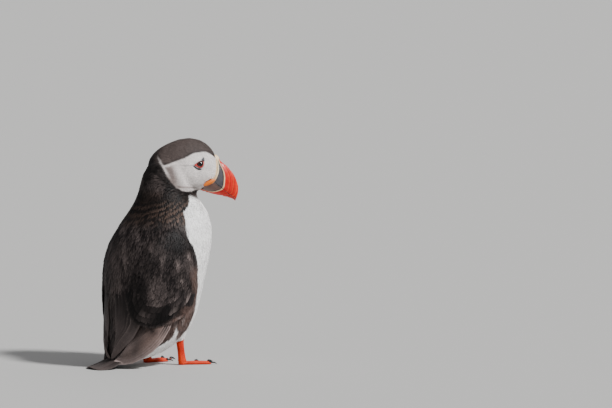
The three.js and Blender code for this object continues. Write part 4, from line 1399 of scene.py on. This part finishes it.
class PUFFIN_OT_primaries(bpy.types.Operator):
    """Lay the long wing feathers over each other from the wing's edge to the tail"""

    bl_idname = "puffin.primaries"
    bl_label = "Primaries"

    def execute(self, context):
        skin = Surface(bpy.data.objects["skin"])
        rng = np.random.default_rng(coat().seed + BLADES_CHANCE)
        feathers = Feathers()
        for side in SIDES.values():
            self.blades(feathers, skin, side, rng)
            self.tertials(feathers, skin, side, rng)
        finish_piece(feathers.build("feathers_flight"), plumage_material(), "black_plumage")
        return {"FINISHED"}

    @staticmethod
    def blades(feathers, skin, side, rng):
        """The primaries, side by side round the blade's core."""
        count, rows = 10, len(LONG_ROWS)
        rank = np.arange(count) / (count - 1)  # 0 at the belly's side, 1 at the back's side
        start = 0.02 + 0.05 * rank
        end = 1.0 - 0.42 * rank ** 1.2
        share = start + (end - start) * LONG_ROWS[:, :1]
        ring, ahead = blade_frame(PRIMARIES, share.ravel())
        outward = np.stack([ring[:, 0], ring[:, 1] - TRUNK_AXIS, 0 * ring[:, 0]], -1)
        outward = square_to(ahead, outward)
        dorsal = np.cross(ahead, outward)
        dorsal = dorsal * np.sign(dorsal[:, 1:2])
        offset = np.tile(-0.86 + 1.66 * rank, rows)
        across = offset * ring[:, 3] * 0.93
        stack = 0.15 + 0.95 * np.tile(rank, rows)
        out = ring[:, 4] * (1 - 0.5 * offset ** 2) - across ** 2 / (2 * PRIMARIES_CURL) + stack
        line = ring[:, :3] + dorsal * across[:, None] + outward * out[:, None]
        line = line * (side, 1, 1)
        outward = unit(outward + dorsal * (across / PRIMARIES_CURL)[:, None]) * (side, 1, 1)
        over = skin.height_over(line)
        line = line + outward * np.maximum(0.2 - over, 0)[:, None] * (over > -2.5)[:, None]
        line, outward = line.reshape(rows, count, 3), outward.reshape(rows, count, 3)
        dark = colour("mantle") * rng.uniform(0.9, 1.2, (count, 1))
        wear_and_sheen = np.clip(0.45 + 0.4 * rank + rng.normal(0, 0.1, count), 0, 1)
        wear_and_sheen[0] = 1
        lowest = ease(0.45, 0, rank)
        root = mixed(dark * 9, colour("ripple"), np.full(count, 0.35)) * (1 + 0.25 * lowest)[:, None]
        tip = mixed(dark * 3, colour("ripple"), np.full(count, 0.15))
        mottled = 1 + 0.9 * wander(line.reshape(-1, 3) * (1, 1, 0.5), 7, 12).reshape(rows, count, 1)
        shade = np.linspace(root, tip, rows) * np.clip(mottled, 0.45, 1.7)
        rims = colour("fringe") * (1.3 + 2.0 * ease(0.5, 0, rank))[:, None]
        feathers.add_blades(skin, line, outward, 3.6 * np.ones(count), 0.14, shaded(shade, line), rims, wear_and_sheen)

    @staticmethod
    def tertials(feathers, skin, side, rng):
        """The feathers from the back's side of the wing, which lie over the primaries' roots."""
        count = 6
        rank = np.arange(count)
        top, bottom = 82 - 2.0 * rank, 7.5 + 5.5 * rank
        height = top + (bottom - top) * LONG_ROWS[:, :1]
        edge = np.interp(height, (4, 9, 14, 20, 38, 60, 85), (-2, 3, 16, 23, 40, 40, 34))
        degrees = edge - 5.4 * rank
        out = np.array([2.9, 2.0, 1.2, 0.6, 0.2, -0.1]) * np.exp(-((height - 26) / 30) ** 2) + 0.1
        out = out - 1.1 * ease(55, 78, height)
        line = on_trunk(side, degrees, height, out)
        dark = colour("mantle") * rng.uniform(0.9, 1.2, (count, 1))
        shade = shaded(np.linspace(dark * 1.4, dark * 4.0, len(LONG_ROWS)), line)
        feathers.add_blades(skin, line, out_of_trunk(side, degrees, height), 5.0 - 0.2 * rank, 0.16, shade,
                            colour("fringe"), np.array([1.0, 0.7, 0.6, 0.6, 0.6, 0.6]))


class PUFFIN_OT_tail(bpy.types.Operator):
    """Fan the tail's feathers over its core"""

    bl_idname = "puffin.tail"
    bl_label = "Tail"

    def execute(self, context):
        skin = Surface(bpy.data.objects["skin"])
        rng = np.random.default_rng(coat().seed + TAIL_CHANCE)
        count, rows = 16, len(LONG_ROWS)
        fan = np.linspace(-1, 1, count)
        share = (1.0 - 0.10 * fan ** 2) * LONG_ROWS[:, :1]
        ring, ahead = blade_frame(TAIL, share.ravel())
        upward = unit(np.cross((1.0, 0, 0), ahead))
        upward = upward * np.sign(upward[:, 2:3])
        spread = np.tile(fan, rows)
        out = ring[:, 4] * np.sqrt(1 - 0.75 * spread ** 2) - 0.1 + 0.55 * (1 - np.abs(spread))
        line = ring[:, :3] + upward * out[:, None]
        line[:, 0] += spread * (ring[:, 3] - 2.2)
        line[:, 2] = np.maximum(line[:, 2], 0.55)
        upward = unit(upward + np.stack([0.5 * spread, 0 * spread, 0 * spread], 1))
        line, upward = line.reshape(rows, count, 3), upward.reshape(rows, count, 3)
        dark = colour("mantle") * rng.uniform(0.9, 1.2, (count, 1))
        feathers = Feathers()
        feathers.add_blades(skin, line, upward, np.full(count, 3.4), 0.12, np.tile(dark, (rows, 1, 1)),
                            colour("fringe"), np.full(count, 0.6))
        finish_piece(feathers.build("feathers_tail"), plumage_material(), "black_plumage")
        return {"FINISHED"}


# ------------------------------------------------------------------ bill


OUTER_SHARE, FACE_SHARE = 0.8, 0.2  # how much of each ring of a half is its outer side and its cutting face
FULLNESS, TAPER = 1.15, 0.3  # how the bill's sides bulge, and how much they lean in towards the top


def bill_ring(share):
    """Place along the bill, middle, half height, half width and the gape's height."""
    along, top, bottom, width = along_rings(BILL_RINGS, share).T
    middle, half = (top + bottom) / 2, np.maximum((top - bottom) / 2, 0.05)
    return along, middle, half, width, np.interp(along, *GAPE_LINE.T)


def bill_side(along, up):
    """How far the bill's side stands from its middle plane, seen from the side at a place."""
    rings = along_rings(BILL_RINGS, np.linspace(0, 1, 200))
    top, bottom, width = (np.interp(along, rings[:, 0], rings[:, i]) for i in (1, 2, 3))
    rise = np.clip((up - (top + bottom) / 2) / ((top - bottom) / 2), -1, 1)
    return width * (1 - rise ** 2) ** 0.575 * (1 - TAPER * rise)


def ahead_of_ridge(along, up):
    return along - np.interp(up, *smooth_curve(CREAM_RIDGE).T)


def bill_relief(along, up):
    """How far the horn stands out of its smooth form."""
    ahead = ahead_of_ridge(along, up)
    relief = 0.42 * np.exp(-(ahead / 0.75) ** 2) - 0.25 * ease(-0.6, -1.6, ahead)
    for number, groove in enumerate(GROOVES):
        deep = 0.42 - 0.1 * number
        relief = relief - deep * np.exp(-((ahead - groove) / 0.55) ** 2)
        relief = relief + 0.5 * deep * np.exp(-((ahead - groove - 1.5) / 0.9) ** 2)
    return relief


def bill_fields(head):
    """What the horn's material needs to know of a place: how far ahead of the cream ridge, above the
    gape and ahead of the bill's rim it lies, in millimetres."""
    along, up = head[:, 0], head[:, 2]
    rim = np.interp(up, *smooth_curve(CERE_LINE).T)
    return np.stack([ahead_of_ridge(along, up), up - np.interp(along, *GAPE_LINE.T), along - rim], 1)


class PUFFIN_OT_bill(bpy.types.Operator):
    """Make the bill's two halves, the rim at its base and the skin at the gape"""

    bl_idname = "puffin.bill"
    bl_label = "Bill"

    def execute(self, context):
        for name, upper in (("bill_upper", True), ("bill_lower", False)):
            obj = shaped_sphere(name + "_horn", 120, 144, lambda share, angle: self.half(share, angle, upper))
            fields = bill_fields(to_head(coordinates(obj))).astype(np.float32)
            add_field(obj.data, "horn", "FLOAT_VECTOR", "vector", fields)
            finish_piece(obj, bill_material(), "bill_horn", name)
        rim = shaped_sphere("cere_rim", 24, 160, self.rim)
        up = to_head(coordinates(rim))[:, 2]
        paint(rim, mixed(colour("bill_cream") * (1.0, 1.12, 1.25), colour("rosette"), 0.5 * ease(8, -2, up)))
        wrinkled = horn_material("gape_wrinkles", 0.45, 900.0)
        finish_piece(rim, wrinkled, "cere_skin", "cere")
        both = []
        for side in SIDES.values():
            made = shaped_sphere("rosettes", 48, 48, lambda share, angle: self.rosette(side, share, angle))
            folds = np.abs(np.sin(to_head(coordinates(made))[:, 2] * 2.1)) ** 6
            paint(made, mixed(colour("rosette"), colour("rosette") * (0.9, 0.6, 1), folds))
            both.append(made)
        finish_piece(joined(both, "rosettes"), wrinkled, "gape_skin", "rosette_right", "rosette_left")
        return {"FINISHED"}

    @staticmethod
    def half(share, angle, upper):
        """The surface of one half of the bill, with its flat cutting face."""
        share = share ** 0.85
        along, middle, half, width, gape = bill_ring(share)
        corner = np.arccos(np.clip((gape - middle) / half, -0.999, 0.999))
        round_ = np.abs(angle) / np.pi
        outer = round_ < OUTER_SHARE
        reach = np.clip(round_ / OUTER_SHARE, 0, 1)
        turn = reach * corner if upper else np.pi - reach * (np.pi - corner)
        out = width * np.abs(np.sin(turn)) ** FULLNESS * (1 - TAPER * np.cos(turn))
        inside = np.clip((round_ - OUTER_SHARE) / FACE_SHARE, 0, 1)
        gap, hollow = (0.16, 0.5) if upper else (-0.16, -0.5)
        up = np.where(outer, middle + half * np.cos(turn), gape + hollow * np.sin(np.pi * inside / 2))
        edge = width * np.sin(corner) ** FULLNESS * (1 - TAPER * np.cos(corner))
        out = np.where(outer, out, edge * (1 - inside))
        relief = bill_relief(along, up) * outer * ease(1.0, 0.9, reach) * ease(0.99, 0.93, share)
        closed = off_poles(share)
        up = np.where(closed, up + gap, gape + gap) + relief * np.cos(turn)
        out = out * closed + relief * np.sin(turn)
        return from_head(np.stack([along, np.sign(angle) * np.maximum(out, 0), up], 1))

    @staticmethod
    def rim(share, angle):
        """A swollen band over the bill from one corner of the gape to the other."""
        u = 2 * share - 1
        line = smooth_curve(CERE_LINE)[::-1]
        steps = np.linalg.norm(np.diff(line, axis=0), axis=1)
        reach = np.concatenate([[0], np.cumsum(steps)]) / steps.sum()
        up = np.interp(np.abs(u), reach, line[:, 0])
        along = np.interp(np.abs(u), reach, line[:, 1])
        top = ease(0.22, 0, np.abs(u))
        out = bill_side(along, up) * (1 - top)
        rings = along_rings(BILL_RINGS, np.linspace(0, 1, 200))
        crest = np.interp(along, rings[:, 0], rings[:, 1])
        up = up + (crest - up) * top
        outward = unit(np.stack([0.25 + 0 * u, np.sign(u) * (1 - top), 0.15 + 1.2 * top], 1))
        flat = square_to(outward, unit(np.stack([1 + 0 * u, 0 * u, 0.35 * (1 - top)], 1)))
        full = np.sqrt(np.clip(1 - np.abs(u) ** 8, 0, 1))
        breadth = (0.7 + 0.35 * ease(0.3, 0.9, np.abs(u))) * full
        tall = (0.7 - 0.25 * top) * full * (1 + 0.06 * np.sin(60 * u))
        centre = np.stack([along, np.sign(u) * out, up], 1)
        return from_head(centre + flat * (breadth * np.cos(angle))[:, None]
                         + outward * (tall * np.sin(angle))[:, None])

    @staticmethod
    def rosette(side, share, angle):
        """The wrinkled swelling at one corner of the gape."""
        slope = np.radians(52)
        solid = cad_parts["rosette_left" if side > 0 else "rosette_right"]
        out = np.abs(to_head(coordinates(solid))[:, 1]).max() - 1.5
        long, wide, thick = 6.2, 2.0, 1.6
        x = np.cos(np.pi * share) * long
        round_ = np.sin(np.pi * share) * (1 + 0.10 * np.sin(5.5 * x) * (1 - (x / long) ** 2))
        y = round_ * np.sin(angle) * thick
        z = round_ * np.cos(angle) * wide
        point = np.stack([29.8 + x * np.cos(slope) - z * np.sin(slope), side * (out + y) - side * 0.18 * x,
                          -3.4 + x * np.sin(slope) + z * np.cos(slope)], 1)
        return from_head(point)


# ------------------------------------------------------------------ eyes


class HeadPatch:
    """A small patch of the head's side round a place, on which flat shapes are laid."""

    def __init__(self, skin, side, along, up):
        self.skin = skin
        start = from_head([[along, side * 60, up]])[0]
        way = -side * HEAD_LEFT
        hit = skin.tree.ray_cast(Vector(start), Vector(way))
        self.centre = np.array(hit[0][:])
        _, normal, _ = skin.nearest(self.centre[None])
        self.outward = normal[0]
        self.ahead = unit(HEAD_FORWARD - HEAD_FORWARD @ self.outward * self.outward)
        self.raised = unit(HEAD_UP - HEAD_UP @ self.outward * self.outward
                           - HEAD_UP @ self.ahead * self.ahead)

    def lay(self, flat, rise):
        """Points at flat places ahead and up, standing by a rise over the skin."""
        points = self.centre + flat[:, :1] * self.ahead + flat[:, 1:2] * self.raised
        near, _, _ = self.skin.nearest(points)
        near = points + self.outward * ((near - points) @ self.outward)[:, None]
        return near + self.outward * np.asarray(rise)[:, None]


class PUFFIN_OT_eyes(bpy.types.Operator):
    """Set the eyes with their lids, red rims and horny plates"""

    bl_idname = "puffin.eyes"
    bl_label = "Eyes"

    def execute(self, context):
        skin = Surface(bpy.data.objects["skin"])
        made = {"eyeballs": [], "eyelids": [], "eye_rims": [], "eye_plates": []}
        for side in SIDES.values():
            patch = HeadPatch(skin, side, *EYE_PLACE)
            made["eyeballs"].append(self.ball(patch))
            fold = EYE_RIM + 1.3 * unit(EYE_RIM - EYE_RIM.mean(0))
            made["eyelids"].append(self.ring("eyelids", patch, EYE_RIM, fold, 0.3, 0.25))
            made["eye_rims"].append(self.ring("eye_rims", patch, EYE_OPENING, EYE_RIM, 0.35, 0.5))
            made["eye_plates"].append(self.plate(patch, BROW_PLATE, 0.9))
            made["eye_plates"].append(self.plate(patch, CHEEK_PLATE, 0.8))
        looks = {
            "eyeballs": (eye_material(), "eye_glass", "eye_right", "eye_left"),
            "eyelids": (horn_material("lid_skin", 0.7, 1200.0), "face_plumage"),
            "eye_rims": (horn_material("lid_rim", 0.4, 1200.0), "eyelid_skin", "eye_ring_right",
                         "eye_ring_left"),
            "eye_plates": (horn_material("eye_plate", 0.5, 900.0), "slate_horn", "brow_horn_right",
                           "brow_horn_left", "cheek_horn_right", "cheek_horn_left"),
        }
        for name, pieces in made.items():
            finish_piece(joined(pieces, name), *looks[name])
        return {"FINISHED"}

    @staticmethod
    def ball(patch):
        """The dark eyeball with its pupil."""
        axes = np.array([patch.ahead, patch.raised, patch.outward])

        def place(share, angle):
            point = np.stack([np.sin(np.pi * share) * np.cos(angle), np.sin(np.pi * share) * np.sin(angle),
                              np.cos(np.pi * share)], 1) * EYE_RADIUS
            return patch.centre + patch.outward * (EYE_STANDS - EYE_RADIUS) + point @ axes

        obj = shaped_sphere("eyeballs", 64, 64, place)
        local = coordinates(obj) - patch.centre
        away = np.hypot(local @ patch.ahead, local @ patch.raised)
        paint(obj, mixed(mixed(IRIS, PUPIL, ease(1.95, 1.75, away)), LID_SHADE, ease(2.6, 2.9, away)))
        return obj

    @staticmethod
    def plate(patch, outline, height):
        """A low horny dome over a closed outline."""
        middle = outline.mean(0)

        def place(share, angle):
            edge = along_loop(outline, angle / (2 * np.pi)) - middle
            reach = np.sin(np.pi * share) ** 0.6
            rise = np.cos(np.pi * share)
            return patch.lay(middle + edge * reach[:, None], height * np.sign(rise) * np.abs(rise) ** 0.8)

        obj = shaped_sphere("eye_plates", 64, 40, place)
        paint(obj, colour("horn"))
        return obj

    @staticmethod
    def ring(name, patch, inner, outer, foot, thick):
        """A fleshy ring between two closed outlines, from the eyeball down to the skin."""
        deselect()
        bpy.ops.mesh.primitive_torus_add(major_segments=96, minor_segments=18, major_radius=1,
                                         minor_radius=0.25)
        obj = bpy.context.object
        obj.name = name
        points = read(obj.data.vertices, "co", 3)
        around = np.arctan2(points[:, 1], points[:, 0]) / (2 * np.pi)
        swing = np.arctan2(points[:, 2], np.hypot(points[:, 0], points[:, 1]) - 1)
        near, far = along_loop(inner, around), along_loop(outer, around)
        share = 0.5 + 0.5 * np.cos(swing)
        flat = near + (far - near) * share[:, None]
        over = np.sqrt(np.maximum(EYE_RADIUS ** 2 - (near ** 2).sum(1), 0)) - EYE_RADIUS + EYE_STANDS
        base = np.maximum(over, 0.25) * (1 - share) + foot * share
        wrinkle = 0.05 * np.sin(around * 2 * np.pi * 17) + 0.04 * np.sin(around * 2 * np.pi * 29 + 1)
        reshaped(obj, patch.lay(flat, base + (thick + wrinkle) * np.sin(swing)))
        if name == "eye_rims":
            ahead, up = flat.T
            shade = mixed(colour("eyelid"), colour("eyelid") * 0.2, ease(1.2, 2.2, (up - ahead) * 0.71))
            # The lids' front corner is a paler pink: their fleshy corner, lightened further as a painted
            # highlight.
            corner = np.exp(-((ahead - 2.7) / 0.5) ** 2 - ((up - 1.4) / 1.1) ** 2)
            shade = mixed(shade, np.array([0.8, 0.25, 0.22]), 0.6 * corner)
            paint(obj, mixed(shade, colour("eyelid") * 0.25, ease(0.3, 0.05, share)))
        else:
            paint(obj, mixed(colour("cheek") * 0.8, colour("cheek_rear"), ease(0.5, 0.0, share)))
        return obj


# ------------------------------------------------------------------ claws


class PUFFIN_OT_claws(bpy.types.Operator):
    """Curve a horn claw at the end of each toe"""

    bl_idname = "puffin.claws"
    bl_label = "Claws"

    def execute(self, context):
        claws, solids = [], []
        for side, (x, y, turned_out) in LEGS.items():
            for toe, (degrees, length) in zip(("inner", "middle", "outer"), TOES):
                turned = np.radians(SIDES[side] * (degrees + turned_out))
                way = np.array([np.sin(turned), -np.cos(turned), 0])
                root = np.array([x, y, 0]) + way * (length - 2.5)
                claws.append(shaped_sphere("claws", 24, 20,
                                           lambda share, angle: self.claw(root, way, share, angle)))
                solids.append(f"claw_{side}_{toe}")
        obj = joined(claws, "claws")
        paint(obj, mixed(colour("claw"), colour("claw") * 3, ease(1.2, 0.2, coordinates(obj)[:, 2])))
        finish_piece(obj, horn_material("claw_keratin", 0.3, 700.0, 0.2), "claw_horn", *solids)
        return {"FINISHED"}

    @staticmethod
    def claw(root, way, share, angle):
        """A curved horn that ends in a point just over the floor."""
        across = np.array([-way[1], way[0], 0])
        radius = off_poles(share) * 1.6 * (1 - share) ** 0.7 * np.minimum(1, 4 * share) ** 0.5
        point = root + way * (8 * share)[:, None] + across * (radius * 0.78 * np.cos(angle))[:, None]
        point[:, 2] = 2.3 + 0.5 * np.sin(np.pi * share) - 2.1 * share ** 2 + radius * np.sin(angle)
        point[:, 2] = np.maximum(point[:, 2], 0.12)
        return point


class PUFFIN_OT_stage(bpy.types.Operator):
    """Set the floor, the light and the camera"""

    bl_idname = "puffin.stage"
    bl_label = "Stage"

    def execute(self, context):
        settings = context.scene.puffin_stage
        deselect()
        bpy.ops.mesh.primitive_plane_add(size=30, location=(0, 0, 0))
        floor = context.object
        floor.name = "floor"
        material, tree, shader = new_material("studio_floor")
        set_inputs(tree, shader, Base_Color=(*settings.floor, 1), Roughness=0.85)
        floor.data.materials.append(material)
        floor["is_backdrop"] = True
        world = bpy.data.worlds.new("studio")
        world.use_nodes = True
        set_inputs(world.node_tree, world.node_tree.nodes["Background"], Color=(0.95, 0.96, 1.0, 1),
                   Strength=settings.world_power)
        context.scene.world = world
        a, e = settings.azimuth, settings.elevation
        out = Vector((np.sin(a) * np.cos(e), -np.cos(a) * np.cos(e), np.sin(e)))
        right = Vector((np.cos(a), np.sin(a), 0))
        up = out.cross(right)
        # The bird stands left of the view's middle.
        target = Vector((0, LEG_LINE * MM, 0)) + right * VIEW_RIGHT + up * VIEW_UP
        camera = bpy.data.cameras.new("camera")
        camera.sensor_width = SENSOR
        camera.lens = SENSOR * settings.distance / settings.view_width
        camera.clip_end = 100
        seat = bpy.data.objects.new("camera", camera)
        context.scene.collection.objects.link(seat)
        seat.matrix_world = Matrix.Translation(target + out * settings.distance) @ Matrix(
            (right, up, out)).transposed().to_4x4()
        context.scene.camera = seat
        self.light("key", right * 1.5 + out * 0.8 + Vector((0, 0, 1.9)), 0.14, settings.key_power)
        self.light("fill", right * -1.3 + out * 0.9 + Vector((0, 0, 0.7)), 1.2, settings.fill_power)
        self.light("rim", right * 0.7 - out * 1.2 + Vector((0, 0, 1.2)), 1.2, settings.fill_power)
        return {"FINISHED"}

    @staticmethod
    def light(name, place, angle, power):
        """A soft light from afar, so that the floor is lit evenly."""
        lamp = bpy.data.lights.new(name, "SUN")
        lamp.angle = angle
        lamp.energy = power
        seat = bpy.data.objects.new(name, lamp)
        bpy.context.scene.collection.objects.link(seat)
        seat.location = place
        seat.rotation_euler = (Vector((0, 0, 0.11)) - place).to_track_quat("-Z", "Y").to_euler()


class PUFFIN_PT_panel(bpy.types.Panel):
    """The steps that build the bird, in order"""

    bl_idname = "PUFFIN_PT_panel"
    bl_label = "Atlantic puffin"
    bl_space_type = "VIEW_3D"
    bl_region_type = "UI"
    bl_category = "Puffin"

    def draw(self, context):
        for step in STEPS:
            self.layout.operator(step.bl_idname)


STEPS = (PUFFIN_OT_skin, PUFFIN_OT_bill, PUFFIN_OT_eyes, PUFFIN_OT_claws, PUFFIN_OT_small_feathers,
         PUFFIN_OT_wing_coverts, PUFFIN_OT_primaries, PUFFIN_OT_tail, PUFFIN_OT_stage)
SETTINGS = {"puffin_coat": PuffinCoat, "puffin_colours": PuffinColours, "puffin_stage": PuffinStage}


def register():
    for made in (*SETTINGS.values(), *STEPS, PUFFIN_PT_panel):
        bpy.utils.register_class(made)
    for name, group in SETTINGS.items():
        setattr(bpy.types.Scene, name, PointerProperty(type=group))


def unregister():
    for name in SETTINGS:
        delattr(bpy.types.Scene, name)
    for made in (PUFFIN_PT_panel, *reversed(STEPS), *SETTINGS.values()):
        bpy.utils.unregister_class(made)


def plain(box):
    return [[float(value) for value in corner] for corner in box]


def main():
    register()
    bpy.ops.puffin.skin()
    bpy.ops.puffin.bill()
    bpy.ops.puffin.eyes()
    bpy.ops.puffin.claws()
    bpy.ops.puffin.small_feathers()
    bpy.ops.puffin.wing_coverts()
    bpy.ops.puffin.primaries()
    bpy.ops.puffin.tail()
    bpy.ops.puffin.stage()
    {"cad_box": plain(CAD_BOX), "visual_box": plain(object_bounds())}


if __name__ == "__main__":
    main()
